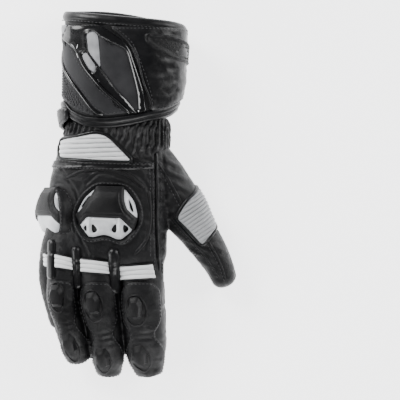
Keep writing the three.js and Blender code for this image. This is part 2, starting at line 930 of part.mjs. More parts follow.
// Everything short of the upper edge of the hem's band, moved towards the mouth by a gap
function hemReach(gap) {
  const edge = HEM_CURVE.map(([x, y]) => [x, y + HEM_BAND + gap / CUFF_LENGTH]);
  return prism(onCuff([...edge, [0.7, -1], [-0.7, -1]]), { round: CORNER.full });
}

function cuffShell() {
  const wall = cuffForm(0).subtract(cuffForm(-WALL, RIM_LENGTH));
  const open = wall.subtract(gloveSeat).subtract(hemReach(-HEM_BAND * CUFF_LENGTH));
  return largest(open.intersect(aboveFloor));
}

function rimRoll() {
  const rings = (rows, base, lap) =>
    rows.map(({ grow, beyond }, i) =>
      mouthRing(base + RIM * grow, RIM_LENGTH * beyond - (i === 0 ? lap : 0)),
    );
  const outside = loft([...rings(RIM_OUTSIDE, 0, 0), mouthRing(0, RIM)]);
  const inside = loft([...rings(RIM_INSIDE, -WALL, LAP), mouthRing(-WALL, RIM + LAP)]);
  const seat = cuffForm(GAP, GAP).subtract(cuffForm(-WALL - GAP, GAP));
  return largest(solid(outside).subtract(solid(inside)).subtract(seat).intersect(aboveFloor));
}

// Pieces laid on the shells

const cuffSeat = cuffForm(GAP);

const pipingPlan = (line, gap) =>
  prism(band(onCuff(line), PIPING_HALF * CUFF_WIDTH + gap), {
    low: SIDE_LOW - gap,
    round: CORNER.crisp,
  });
const pipingSeat = () => pipingPlan(UPPER_PIPING, GAP).add(pipingPlan(LOWER_PIPING, GAP));

function armourFrame() {
  const cover = cuffLayer(GAP, GAP + ARMOUR * PROUD);
  const outline = prism(onCuff(FRAME), { low: SIDE_LOW, round: CORNER.soft });
  const holes = prism(onCuff(PLATE_HOLE), { round: CORNER.tight }).add(
    prism(onCuff(LOWER_WINDOW), { round: CORNER.tight }),
  );
  return largest(cover.intersect(outline).subtract(holes).subtract(pipingSeat()));
}

// An outline drawn in about its middle comes in less at a slant, so it takes more than one gap
const PLAN_GAP = 2;

// The plan outline drawn in by a margin, about its own middle
function drawnIn(points, margin) {
  const middle = points.reduce((sum, p) => [sum[0] + p[0], sum[1] + p[1]], [0, 0]);
  middle[0] /= points.length;
  middle[1] /= points.length;
  return points.map(([x, y]) => {
    const reach = Math.hypot(x - middle[0], y - middle[1]);
    const share = 1 - margin / reach;
    return [middle[0] + (x - middle[0]) * share, middle[1] + (y - middle[1]) * share];
  });
}

function splitPlate(keepRight) {
  const [top, foot] = onCuff(WINDOW_EDGE);
  const shift = (keepRight ? 1 : -1) * (GAP / 2);
  const reach = keepRight ? FAR : -FAR;
  const half = prism(
    [
      [top[0] + shift, FAR],
      [top[0] + shift, top[1]],
      [foot[0] + shift, foot[1]],
      [foot[0] + shift, -FAR],
      [reach, -FAR],
      [reach, FAR],
    ],
    { round: CORNER.sharp },
  );
  const plan = drawnIn(onCuff(PLATE_HOLE), GAP * PLAN_GAP);
  const fitted = prism(plan, { low: CUFF_MIDDLE, round: CORNER.tight });
  return largest(cuffLayer(GAP, GAP + ARMOUR).intersect(fitted).intersect(half));
}

function lowerWindow() {
  const plan = drawnIn(onCuff(LOWER_WINDOW), GAP * PLAN_GAP);
  const fitted = prism(plan, { low: CUFF_MIDDLE, round: CORNER.tight });
  return largest(cuffLayer(GAP, GAP + ARMOUR).intersect(fitted));
}

// A cord's plan: a narrow band to either side of a line of points
function band(line, half) {
  const side = (i, sign) => {
    const [x0, y0] = line[Math.max(i - 1, 0)];
    const [x1, y1] = line[Math.min(i + 1, line.length - 1)];
    const length = Math.hypot(x1 - x0, y1 - y0);
    return [
      line[i][0] - (sign * half * (y1 - y0)) / length,
      line[i][1] + (sign * half * (x1 - x0)) / length,
    ];
  };
  const left = line.map((_, i) => side(i, 1));
  const right = line.map((_, i) => side(i, -1)).reverse();
  return [...left, ...right];
}

function piping(line) {
  return largest(cuffLayer(GAP, GAP + PIPING).intersect(pipingPlan(line, 0)));
}

function stripe() {
  const cover = cuffLayer(GAP, GAP + LEATHER);
  return largest(cover.intersect(prism(onCuff(STRIPE), { low: SIDE_LOW })).subtract(pipingSeat()));
}

function palmPlate() {
  const cover = cuffLayer(GAP, GAP + LEATHER);
  const outline = prism(onCuff(PALM_PLATE), { high: CUFF_MIDDLE });
  return largest(cover.intersect(outline).subtract(hemReach(GAP)));
}

function hemBand() {
  const cover = cuffForm(GAP + LEATHER).subtract(cuffSeat).intersect(hemReach(0));
  return largest(cover.subtract(hemReach(-HEM_BAND * CUFF_LENGTH)).subtract(gloveSeat));
}

function meshPanel() {
  const cover = cuffLayer(GAP, GAP + LEATHER);
  const back = prism(onCuff(MESH_BACK), { low: CUFF_MIDDLE });
  const palm = prism(onCuff(MESH_PALM), { high: CUFF_MIDDLE + LAP });
  const stripeSeat = prism(drawnIn(onCuff(STRIPE), -GAP * PLAN_GAP), { low: SIDE_LOW - GAP });
  const made = cover.intersect(back.add(palm)).subtract(stripeSeat).subtract(pipingSeat());
  return largest(made.subtract(hemReach(GAP)).intersect(aboveFloor));
}

// Ribs that cross an outline: strips from one edge of a box of cells to the other
function ribs(cover, outline, { count, turn, centre, pitch, low, high }) {
  const raised = cover(GAP, GAP + RIB_BASE + RIB_RISE).intersect(outline);
  const base = cover(GAP, GAP + RIB_BASE).intersect(outline);
  const strips = [];
  for (let i = 0; i < count; i++) {
    const offset = (i - (count - 1) / 2) * pitch;
    const geometry = new THREE.BoxGeometry(FAR, pitch * RIB_SHARE, high - low);
    geometry.translate(0, offset, (low + high) / 2).rotateZ(turn).translate(centre[0], centre[1], 0);
    strips.push(solid(geometry));
  }
  return largest(raised.intersect(union(strips)).add(base));
}

function backPanel() {
  const outline = prism(onHand(BACK_PANEL), { low: HAND_MIDDLE, round: CORNER.wide });
  return ribs(handLayer, outline, {
    count: BACK_RIBS.count,
    turn: THREE.MathUtils.degToRad(BACK_RIBS.turn),
    centre: onHand([[BACK_RIBS.x, BACK_RIBS.y]])[0],
    pitch: BACK_RIBS.pitch * PALM_LENGTH,
    low: HAND_MIDDLE,
    high: TALL,
  });
}

function palmRibs() {
  const outline = prism(onCuff(PALM_RIBS), { high: CUFF_MIDDLE });
  const made = ribs(cuffLayer, outline, {
    count: CUFF_RIBS.count,
    turn: THREE.MathUtils.degToRad(CUFF_RIBS.turn),
    centre: onCuff([[CUFF_RIBS.x, CUFF_RIBS.y]])[0],
    pitch: CUFF_RIBS.pitch * CUFF_LENGTH,
    low: -TALL,
    high: CUFF_MIDDLE,
  });
  return largest(made.subtract(hemReach(GAP)).intersect(aboveFloor));
}

function thumbPanel() {
  const rows = thumbRows();
  const points = THUMB_PANEL.map(({ along, across }) => {
    const i = THUMB.findIndex((row) => row.along >= along);
    const [a, b] = [THUMB[i - 1], THUMB[i]];
    const t = (along - a.along) / (b.along - a.along);
    const centre = rows[i - 1].centre.clone().lerp(rows[i].centre, t);
    const half = THREE.MathUtils.lerp(rows[i - 1].half, rows[i].half, t);
    centre.addScaledVector(thumbOut, across * half);
    return [centre.x, centre.y];
  });
  const middle = rows[THUMB_RIBS.row].centre;
  const outline = prism(points, { low: middle.z, round: CORNER.soft });
  return ribs(thumbLayer, outline, {
    count: THUMB_RIBS.count,
    turn: thumbTurn,
    centre: [middle.x, middle.y],
    pitch: THUMB_RIBS.pitch * THUMB_LENGTH,
    low: middle.z,
    high: TALL,
  });
}

const bridgePlan = (name, gap) => {
  const { from, to, half } = BRIDGES[name];
  const reach = half * PALM_WIDTH + gap;
  const low = LOW_EDGE.bridge * PALM_DEPTH - gap;
  return prism(band(onHand([from, to]), reach), { low, round: reach, turns: 2 });
};

function strip(name) {
  const bridges = union(Object.keys(BRIDGES).map((other) => bridgePlan(other, GAP)));
  const low = LOW_EDGE.strip * PALM_DEPTH;
  const plan = prism(onHand(STRIPS[name]), { low, round: CORNER.crisp });
  const outline = plan.subtract(bridges);
  const [a, b, c, d] = onHand(STRIPS[name]);
  const centre = [(a[0] + b[0] + c[0] + d[0]) / 4, (a[1] + b[1] + c[1] + d[1]) / 4];
  return ribs(gloveLayer, outline, {
    count: STRIP_RIBS,
    turn: Math.atan2(b[1] - a[1], b[0] - a[0]),
    centre,
    pitch: (a[1] - d[1]) / STRIP_RIBS,
    low: low - PALM_DEPTH / 2,
    high: TALL,
  });
}

function bridge(name) {
  const cover = gloveForm(GAP + BRIDGE_RISE).subtract(gloveSeat);
  return largest(cover.intersect(bridgePlan(name, 0)));
}

function backHem() {
  const outline = prism(onHand(BACK_HEM), { low: LOW_EDGE.back_hem * PALM_DEPTH });
  return largest(layer(handForm, GAP, GAP + LEATHER).intersect(outline).subtract(thumbForm(GAP)));
}

function sideSeam() {
  const outline = prism(onHand(SIDE_SEAM), { low: HAND_MIDDLE, round: CORNER.crisp });
  return largest(gloveForm(GAP + LEATHER).subtract(gloveSeat).intersect(outline));
}

function wristGather() {
  const fold = (points, deep) =>
    points.map((p, s) => {
      const wave = Math.cos(Math.PI * s) * GATHER_RISE * deep;
      const away = p.clone().sub(new THREE.Vector3(0, p.y, HAND_MIDDLE)).normalize();
      return p.clone().addScaledVector(away, wave);
    });
  const between = (at) => {
    const i = Math.max(1, HAND.findIndex((row) => row.y <= at));
    const [a, b] = [HAND[i - 1], HAND[i]];
    const t = (a.y - at) / (a.y - b.y);
    const keys = ["centre", "half", "low", "high", "tilt"];
    return Object.fromEntries(keys.map((key) => [key, THREE.MathUtils.lerp(a[key], b[key], t)]));
  };
  const rings = GATHERS.map(({ at, deep }) => {
    const row = between(at);
    return fold(
      section({
        y: at * PALM_LENGTH,
        centre: row.centre * PALM_WIDTH,
        half: row.half * PALM_WIDTH,
        low: row.low * PALM_DEPTH,
        high: row.high * PALM_DEPTH,
        tilt: row.tilt * PALM_DEPTH,
        grow: GAP + GATHER_BASE,
        power: HAND_POWER,
        sides: GATHER_FOLDS * 2,
      }),
      deep,
    );
  });
  const panel = drawnIn(onHand(BACK_PANEL), -LAP);
  const keepClear = prism(panel, { round: CORNER.wide });
  const lower = block(
    new THREE.Vector3(-FAR, -FAR, -TALL),
    new THREE.Vector3(FAR, FAR, LOW_EDGE.gather * PALM_DEPTH),
  );
  const made = solid(loft(rings))
    .subtract(gloveSeat)
    .subtract(cuffForm(GAP * 2 + LEATHER))
    .subtract(lower)
    .subtract(keepClear.intersect(aboveFloor));
  return largest(made);
}

// Palm pieces

const HEEL_HIGH = LOW_EDGE.heel * PALM_DEPTH;

function palmSide(outline, thick) {
  const cover = handForm(GAP + thick).subtract(gloveSeat);
  const plan = prism(onHand(outline), { high: HEEL_HIGH, round: CORNER.soft });
  return largest(cover.intersect(plan).intersect(aboveFloor));
}

const wristForm = (grow) => handForm(grow).add(cuffForm(grow));

function wristStrap() {
  const inner = GAP * 4 + GATHER_BASE + GATHER_RISE;
  const cover = layer(wristForm, inner, inner + STRAP);
  const palm = prism(onHand(STRAP_PALM), { high: HAND_MIDDLE, round: CORNER.wide });
  const back = prism(onHand(STRAP_BACK), { low: HAND_MIDDLE - LAP });
  return largest(cover.intersect(palm.add(back)).intersect(aboveFloor));
}

function strapTab() {
  const inner = GAP * 2 + LEATHER;
  const cover = layer(wristForm, inner, inner + TAB);
  const outline = prism(onHand(STRAP_TAB), { high: HAND_MIDDLE, round: CORNER.tight });
  return largest(cover.intersect(outline).intersect(aboveFloor));
}

function closureFlap() {
  const cover = cuffLayer(GAP, GAP + FLAP);
  const back = prism(onCuff(FLAP_BACK), { low: CUFF_MIDDLE - LAP, round: CORNER.wide });
  const palm = prism(onCuff(FLAP_PALM), { high: CUFF_MIDDLE, round: CORNER.wide });
  const made = cover.intersect(back.add(palm)).subtract(hemReach(GAP));
  return largest(made.intersect(aboveFloor));
}

function flapPatch() {
  const cover = cuffLayer(GAP * 2 + FLAP, GAP * 2 + FLAP + LEATHER);
  const outline = prism(onCuff(FLAP_PATCH), { low: SIDE_LOW, round: CORNER.wide });
  return largest(cover.intersect(outline));
}

// Hard pieces: a dome over an outline, built flat and set on the glove

function dome({ rim, width, length, height, rows, peak = [0, 0], grow = 0 }) {
  const rings = rows.map(({ share, rise }, i) =>
    rim.map(([x, y]) => {
      const px = (peak[0] + (x - peak[0]) * share) * width;
      const py = (peak[1] + (y - peak[1]) * share) * length;
      const reach = Math.max(Math.hypot(px, py), 1e-6);
      const lift = i === 0 ? rise * height : rise * height + grow;
      return new THREE.Vector3(px + (px / reach) * grow, py + (py / reach) * grow, lift);
    }),
  );
  return loft(rings);
}

// Turns a flat-built geometry onto the glove
function settle(geometry, place) {
  const turned = geometry
    .clone()
    .rotateX(THREE.MathUtils.degToRad(place.pitch))
    .rotateY(THREE.MathUtils.degToRad(-place.tilt))
    .rotateZ(THREE.MathUtils.degToRad(place.spin))
    .translate(place.at.x, place.at.y, place.at.z);
  return solid(turned);
}

const flatPrism = (points, low, high) =>
  new THREE.ExtrudeGeometry(outlineShape(points, CORNER.crisp), {
    depth: high - low,
    bevelEnabled: false,
    curveSegments: 1,
  }).translate(0, 0, low);

const onPalm = ({ x, y, z }) => new THREE.Vector3(x * PALM_WIDTH, y * PALM_LENGTH, z * PALM_DEPTH);

function guard(share, place, openings) {
  const width = GUARD_WIDTH * share;
  const length = GUARD_LENGTH * share;
  const height = GUARD_HEIGHT * share;
  const rows = GUARD_DOME.map((row, i) => (i === 0 ? { ...row, rise: -place.deep } : row));
  const rimSize = { rim: GUARD_RIM, width, length, height, rows, peak: GUARD_PEAK };
  const scaled = (points) => points.map(([x, y]) => [x * width, y * length]);
  const seated = (geometry) => settle(geometry, { ...place, at: onPalm(place) });
  const cuts = openings.map((points) =>
    seated(flatPrism(scaled(points), height * 0.3, height * 2)),
  );
  const seat = seated(dome({ ...rimSize, grow: GAP }));
  const base = seated(dome(rimSize)).subtract(gloveSeat).subtract(union(cuts));
  const shieldPlan = seated(flatPrism(scaled(GUARD_SHIELD), -height, height * 3));
  const shield = seated(dome({ ...rimSize, grow: GAP + ARMOUR }))
    .intersect(shieldPlan)
    .subtract(seat)
    .subtract(gloveSeat);
  return { base: largest(base), shield: largest(shield), seat };
}

function guardSurround(besides) {
  const at = onPalm(GUARD_PLACE);
  const grown = (share) =>
    GUARD_RIM.map(([x, y]) => [x * GUARD_WIDTH * share + at.x, y * GUARD_LENGTH * share + at.y]);
  const outer = prism(grown(SURROUND.outer), { low: HAND_MIDDLE, round: CORNER.full });
  const ringPlan = outer.subtract(prism(grown(SURROUND.inner), { round: CORNER.soft }));
  const clear = prism(onHand(STRIPS.middle)).add(prism(onHand(STRIPS.index)));
  const cover = layer(handForm, GAP, GAP + LEATHER * PROUD);
  return largest(cover.intersect(ringPlan).subtract(clear).subtract(besides));
}

function slider(name, at) {
  const rows = fingerRows(name);
  const finger = FINGERS[name];
  const along = at * finger.reach;
  const i = finger.rows.findIndex((row) => row.along >= along);
  const t = (along - finger.rows[i - 1].along) / (finger.rows[i].along - finger.rows[i - 1].along);
  const centre = rows[i - 1].centre.clone().lerp(rows[i].centre, t);
  const half = THREE.MathUtils.lerp(rows[i - 1].half, rows[i].half, t);
  const deep = THREE.MathUtils.lerp(rows[i - 1].deep, rows[i].deep, t);
  const ahead = rows[i].centre.clone().sub(rows[i - 1].centre).normalize();
  const lift = (1 - Math.abs(SLIDER_ACROSS) ** FINGER_POWER) ** (1 / FINGER_POWER);
  const place = {
    at: centre.add(new THREE.Vector3(SLIDER_ACROSS * half, 0, deep * lift + LEATHER)),
    tilt: SLIDER_TILT,
    pitch: THREE.MathUtils.radToDeg(Math.asin(-ahead.z)),
    spin: THREE.MathUtils.radToDeg(Math.atan2(ahead.x, -ahead.y)),
  };
  const geometry = dome({
    rim: SLIDER_RIM,
    width: SLIDER_WIDTH,
    length: SLIDER_LENGTH,
    height: SLIDER_HEIGHT,
    rows: SLIDER_DOME,
  });
  return settle(geometry, place).subtract(fingerForm(name, GAP * 2 + LEATHER));
}

function fingerOverlay(name) {
  const finger = FINGERS[name];
  const rows = fingerRows(name);
  const at = (share, across) => {
    const along = share * finger.reach;
    const last = finger.rows.length - 1;
    const found = finger.rows.findIndex((row) => row.along >= along);
    const i = found < 1 ? last : found;
    const t =
      (along - finger.rows[i - 1].along) / (finger.rows[i].along - finger.rows[i - 1].along);
    const x = THREE.MathUtils.lerp(rows[i - 1].centre.x, rows[i].centre.x, Math.min(t, 1));
    const half = THREE.MathUtils.lerp(rows[i - 1].half, rows[i].half, Math.min(t, 1));
    return [x + across * half, CROTCH_Y - along * FINGER_LENGTH];
  };
  const left = OVERLAY.map((row) => at(row.at, row.left));
  const right = OVERLAY.map((row) => at(row.at, row.right)).reverse();
  const plan = prism([...left, ...right], { round: CORNER.wide });
  const line = rows.map(({ centre }) => [centre.y, centre.z + LAP]);
  const tipY = CROTCH_Y - (finger.reach + OVERLAY_TIP.beyond) * FINGER_LENGTH;
  line.push([tipY, line.at(-1)[1] - FINGER_DEPTH * OVERLAY_TIP.drop]);
  const cover = fingerForm(name, GAP + LEATHER).subtract(gloveSeat);
  return largest(cover.intersect(plan).intersect(above(line)));
}

// The glove

const main = guard(1, GUARD_PLACE, [...GUARD_SLOTS, ...GUARD_VENTS]);
const side = guard(SIDE_GUARD_SHARE, SIDE_GUARD_PLACE, GUARD_SLOTS);
const heelSeat = prism(onHand(HEEL_SLIDER), { high: HEEL_HIGH + GAP, round: CORNER.soft });
side.base = largest(side.base.subtract(heelSeat));

const PIECES = [
  ["hand_shell", handShell(), "leather"],
  ["thumb_stall", thumbShell(), "leather"],
  ...Object.keys(FINGERS).map((name) => [name + "_stall", fingerShell(name), "leather"]),
  ["cuff_shell", cuffShell(), "leather"],
  ["cuff_rim", rimRoll(), "leather"],
  ["cuff_hem", hemBand(), "leather"],
  ["cuff_frame", armourFrame(), "gloss_black"],
  ["cuff_plate", splitPlate(true), "charcoal"],
  ["cuff_window_upper", splitPlate(false), "reflective"],
  ["cuff_window_lower", lowerWindow(), "reflective"],
  ["cuff_stripe", stripe(), "charcoal"],
  ["cuff_piping_upper", piping(UPPER_PIPING), "gloss_black"],
  ["cuff_piping_lower", piping(LOWER_PIPING), "gloss_black"],
  ["cuff_mesh", meshPanel(), "mesh"],
  ["cuff_palm_ribs", palmRibs(), "leather"],
  ["cuff_palm_plate", palmPlate(), "charcoal"],
  ["closure_flap", closureFlap(), "leather"],
  ["flap_patch", flapPatch(), "mesh"],
  ["wrist_gather", wristGather(), "leather"],
  ["wrist_strap", wristStrap(), "leather"],
  ["strap_tab", strapTab(), "mesh"],
  ["back_panel", backPanel(), "stretch_white"],
  ["back_hem", backHem(), "leather"],
  ["side_seam", sideSeam(), "leather"],
  ["guard_surround", guardSurround(side.seat), "leather"],
  ["guard_base", main.base, "silver"],
  ["guard_shield", main.shield, "hard_black"],
  ["side_guard_base", side.base, "silver"],
  ["side_guard_shield", side.shield, "hard_black"],
  ...Object.keys(STRIPS).map((name) => [name + "_strip", strip(name), "stretch_white"]),
  ...Object.keys(BRIDGES).map((name) => [name + "_bridge", bridge(name), "leather"]),
  ...["index", "middle", "ring"].flatMap((name) => [
    [name + "_overlay", fingerOverlay(name), "leather"],
    [name + "_slider_upper", slider(name, FINGERS[name].sliders.upper), "hard_black"],
    [name + "_slider_lower", slider(name, FINGERS[name].sliders.lower), "hard_black"],
  ]),
  ["thumb_panel", thumbPanel(), "stretch_grey"],
  ["palm_slider", palmSide(PALM_SLIDER, PALM_PAD), "leather"],
  ["heel_slider", palmSide(HEEL_SLIDER, PAD), "gloss_black"],
  ["grip_patch", palmSide(GRIP_PATCH, LEATHER), "leather"],
];

// The origin: the middle of the palm slider's outline
const sliderBox = new THREE.Box2().setFromPoints(
  onHand(PALM_SLIDER).map(([x, y]) => new THREE.Vector2(x, y)),
);
const origin = sliderBox.getCenter(new THREE.Vector2());

const gauntlet = new THREE.Group();
for (const [name, made, material] of PIECES) {
  const mesh = new THREE.Mesh(geometryOf(made), new THREE.MeshStandardMaterial(MATERIALS[material]));
  mesh.name = name;
  mesh.position.set(-origin.x, -origin.y, 0);
  gauntlet.add(mesh);
}

export default gauntlet;
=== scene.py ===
"""The looks of a right-hand motorcycle gauntlet that lies palm down."""

import math

import bpy
import numpy as np
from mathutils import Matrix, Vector, noise
from mathutils.bvhtree import BVHTree
from mathutils.geometry import delaunay_2d_cdt


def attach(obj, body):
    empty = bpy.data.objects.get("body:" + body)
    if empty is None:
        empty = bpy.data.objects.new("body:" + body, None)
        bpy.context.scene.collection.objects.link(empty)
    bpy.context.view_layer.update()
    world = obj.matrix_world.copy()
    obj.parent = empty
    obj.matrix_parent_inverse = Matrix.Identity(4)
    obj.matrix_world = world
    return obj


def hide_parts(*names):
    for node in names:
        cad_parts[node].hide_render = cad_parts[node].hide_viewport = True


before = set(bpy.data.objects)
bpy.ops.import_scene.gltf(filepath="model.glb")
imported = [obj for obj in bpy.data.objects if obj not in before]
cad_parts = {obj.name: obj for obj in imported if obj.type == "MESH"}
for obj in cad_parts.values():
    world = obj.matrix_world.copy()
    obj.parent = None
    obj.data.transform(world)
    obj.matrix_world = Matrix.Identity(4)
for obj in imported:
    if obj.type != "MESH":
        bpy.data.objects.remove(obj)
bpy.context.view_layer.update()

bl_info = {
    "name": "Motorcycle Gauntlet",
    "version": (1, 0, 0),
    "blender": (4, 5, 0),
    "location": "View3D > Sidebar > Gauntlet",
    "description": "Dresses a right-hand leather gauntlet in its panels, guards and stitching",
    "category": "Object",
}

# Lengths below are drafting millimetres: X towards the thumb, Y towards the cuff, Z up. The CAD's
# origin is the middle of the palm slider, so each mesh is moved there as it is made.
MM = 0.001
PALM_WIDTH = 106
PALM_LENGTH = 128
PALM_DEPTH = 50
FINGER_LENGTH = 90
FINGER_WIDTH = 39
FINGER_DEPTH = 33
THUMB_LENGTH = 140
THUMB_WIDTH = 40
THUMB_DEPTH = 34
THUMB_ANGLE = math.radians(30.6)
CUFF_LENGTH = 86
CUFF_WIDTH = 104
CUFF_DEPTH = 57
GUARD_WIDTH = 53
GUARD_LENGTH = 51
GUARD_HEIGHT = 10
SIDE_GUARD_SHARE = 0.9
SLIDER_WIDTH = 13
SLIDER_LENGTH = 20
SLIDER_HEIGHT = 6
WALL = 2.2
RIM = 2.4
CROTCH_Y = -0.484 * PALM_LENGTH
HEM_Y = 0.516 * PALM_LENGTH
SECTION_MIDDLE = 0.45
WRAP_RADIUS = 40
FINGER_RADIUS = 17

# How round the sections are: 2 is an ellipse, more is boxier
HAND_POWER = 2.5
CUFF_POWER = 2.4
FINGER_POWER = 2.15

# Hand sections: y, centre, half width, low, high and tilt, in shares of the palm's sizes
HAND = [
    (-0.52, -0.057, 0.32, 0.34, 0.74, 0.06),
    (-0.47, -0.057, 0.387, 0.3, 0.82, 0.08),
    (-0.422, -0.127, 0.476, 0.17, 0.94, 0.1),
    (-0.328, -0.13, 0.503, 0.12, 0.99, 0.1),
    (-0.195, -0.111, 0.489, 0.08, 1, 0.09),
    (-0.04, -0.097, 0.484, 0.07, 0.99, 0.07),
    (0.117, -0.084, 0.48, 0.07, 0.98, 0.05),
    (0.234, -0.068, 0.464, 0.075, 0.97, 0.03),
    (0.352, -0.049, 0.437, 0.1, 0.95, 0.02),
    (0.43, -0.028, 0.415, 0.13, 0.93, 0.01),
    (0.516, -0.021, 0.398, 0.15, 0.91, 0),
    (0.664, -0.024, 0.382, 0.16, 0.9, 0),
]

# Cuff sections from the hem: at, centre, half width, low and high, in shares of the cuff's sizes
CUFF = [
    (-0.12, -0.025, 0.42, 0.1, 0.82, 0),
    (-0.02, -0.019, 0.436, 0.092, 0.846, 0),
    (0.1, -0.01, 0.46, 0.07, 0.89, 0),
    (0.3, 0.02, 0.482, 0.058, 0.94, 0),
    (0.55, 0.033, 0.49, 0.055, 0.97, 0),
    (0.8, 0.04, 0.492, 0.055, 0.99, 0),
    (1.1, 0.04, 0.492, 0.055, 0.99, 0),
]

# Finger sections: along from the crotch, x, half width, z and half depth, in shares
FINGERS = {
    "index": {
        "reach": 1,
        "tip": 9,
        "rows": [
            (-0.522, 0.142, 0.41, 0.818, 0.455),
            (-0.133, 0.165, 0.495, 0.894, 0.5),
            (0.2, 0.172, 0.495, 0.873, 0.494),
            (0.478, 0.189, 0.477, 0.742, 0.448),
            (0.689, 0.2, 0.457, 0.56, 0.424),
            (0.833, 0.217, 0.37, 0.385, 0.397),
            (0.9, 0.226, 0.3, 0.345, 0.345),
        ],
    },
    "middle": {
        "reach": 1,
        "tip": 9,
        "rows": [
            (-0.522, -0.16, 0.4, 0.88, 0.455),
            (-0.133, -0.175, 0.42, 0.955, 0.515),
            (0.2, -0.172, 0.437, 0.93, 0.485),
            (0.478, -0.134, 0.394, 0.79, 0.44),
            (0.689, -0.109, 0.368, 0.6, 0.42),
            (0.833, -0.098, 0.322, 0.4, 0.405),
            (0.9, -0.099, 0.27, 0.345, 0.34),
        ],
    },
    "ring": {
        "reach": 0.855,
        "tip": 8,
        "rows": [
            (-0.522, -0.396, 0.333, 0.818, 0.394),
            (-0.133, -0.453, 0.333, 1, 0.394),
            (0, -0.462, 0.328, 1.02, 0.37),
            (0.2, -0.465, 0.323, 0.995, 0.355),
            (0.478, -0.41, 0.315, 0.894, 0.333),
            (0.667, -0.368, 0.3, 0.636, 0.333),
            (0.767, -0.344, 0.256, 0.485, 0.318),
        ],
    },
    "little": {
        "reach": 0.544,
        "tip": 8,
        "rows": [
            (-0.522, -0.49, 0.2, 0.485, 0.25),
            (-0.189, -0.547, 0.282, 0.364, 0.333),
            (-0.022, -0.557, 0.287, 0.33, 0.295),
            (0.156, -0.547, 0.282, 0.31, 0.295),
            (0.311, -0.519, 0.269, 0.291, 0.285),
            (0.456, -0.495, 0.238, 0.261, 0.267),
        ],
    },
}
# Thumb sections: along, off to the outer side, half width, z and half depth, in shares
THUMB_ROOT = (0.189, 0.352)
THUMB_TIP = 9
THUMB = [
    (0, 0, 0.4, 0.706, 0.44),
    (0.2, 0.05, 0.45, 0.7, 0.5),
    (0.43, 0.04, 0.5, 0.62, 0.485),
    (0.636, 0.077, 0.395, 0.52, 0.43),
    (0.846, 0.095, 0.32, 0.4, 0.385),
    (0.93, 0.05, 0.275, 0.345, 0.345),
]

# Plan outlines on the hand, in shares of the palm's width and length
BACK_PANEL = [
    (-0.465, 0.398), (-0.321, 0.415), (-0.2, 0.438), (-0.128, 0.428), (-0.08, 0.405), (0, 0.339),
    (0.098, 0.255), (-0.16, 0.262), (-0.473, 0.279), (-0.477, 0.332),
]
STRIPS = {
    "index": [(-0.003, -0.429), (0.261, -0.42), (0.284, -0.515), (0.008, -0.529)],
    "middle": [(-0.313, -0.382), (-0.087, -0.404), (-0.082, -0.487), (-0.307, -0.472)],
    "ring": [(-0.512, -0.357), (-0.375, -0.379), (-0.375, -0.461), (-0.512, -0.444)],
}
LITTLE_STRIP = [(-0.604, -0.35), (-0.564, -0.362), (-0.568, -0.444), (-0.608, -0.435)]
BACK_HEM = [
    (-0.6, 0.262), (-0.473, 0.268), (-0.16, 0.251), (0.104, 0.243), (0.277, 0.25), (0.277, 0.206),
    (-0.12, 0.193), (-0.62, 0.215),
]
YOKE = [(-0.475, 0.25), (-0.16, 0.233), (0.104, 0.226), (0.277, 0.232)]
SIDE_SEAM = [(0.293, 0.318), (0.3, 0.1), (0.297, -0.1), (0.305, -0.3), (0.313, -0.48)]
INNER_SEAM = [(0.255, 0.2), (0.262, 0.06), (0.258, -0.14), (0.262, -0.36)]
GATHER = [
    (-0.62, 0.535), (-0.3, 0.53), (0, 0.52), (0.36, 0.54), (0.62, 0.54), (0.62, 0.36), (0.33, 0.325),
    (0.2, 0.275), (0.115, 0.275), (0.02, 0.35), (-0.075, 0.422), (-0.13, 0.445), (-0.2, 0.455),
    (-0.33, 0.432), (-0.48, 0.415), (-0.62, 0.42),
]
# Padded rolls pressed up in the leather round the guard
EMBOSSED = [
    [(-0.43, 0.14), (-0.3, 0.19), (-0.13, 0.2), (0.05, 0.17), (0.2, 0.08)],
    [(-0.42, 0.02), (-0.4, -0.1), (-0.36, -0.22)],
    [(0.235, 0.06), (0.25, -0.1), (0.22, -0.25), (0.12, -0.36)],
]
BRIDGES = {
    "index": ((-0.046, -0.352), (-0.026, -0.585), 0.044),
    "middle": ((-0.346, -0.331), (-0.335, -0.56), 0.034),
    "ring": ((-0.537, -0.284), (-0.54, -0.5), 0.03),
}
PALM_SLIDER = [
    (0.062, 0.294), (-0.052, 0.252), (-0.071, 0.189), (-0.038, 0.148), (0.189, 0.047), (0.22, 0.069),
    (0.233, 0.127), (0.226, 0.199), (0.151, 0.263),
]
HEEL_SLIDER = [
    (-0.203, 0.273), (-0.255, 0.325), (-0.34, 0.352), (-0.453, 0.336), (-0.6, 0.3), (-0.62, 0.03),
    (-0.53, 0.02), (-0.44, 0.117), (-0.255, 0.2),
]
GRIP_PATCH = [
    (0.33, -0.14), (0.207, -0.21), (0.075, -0.266), (-0.113, -0.227), (-0.264, -0.195), (-0.396, -0.25),
    (-0.46, -0.36), (-0.3, -0.4), (0.05, -0.41), (0.33, -0.4),
]

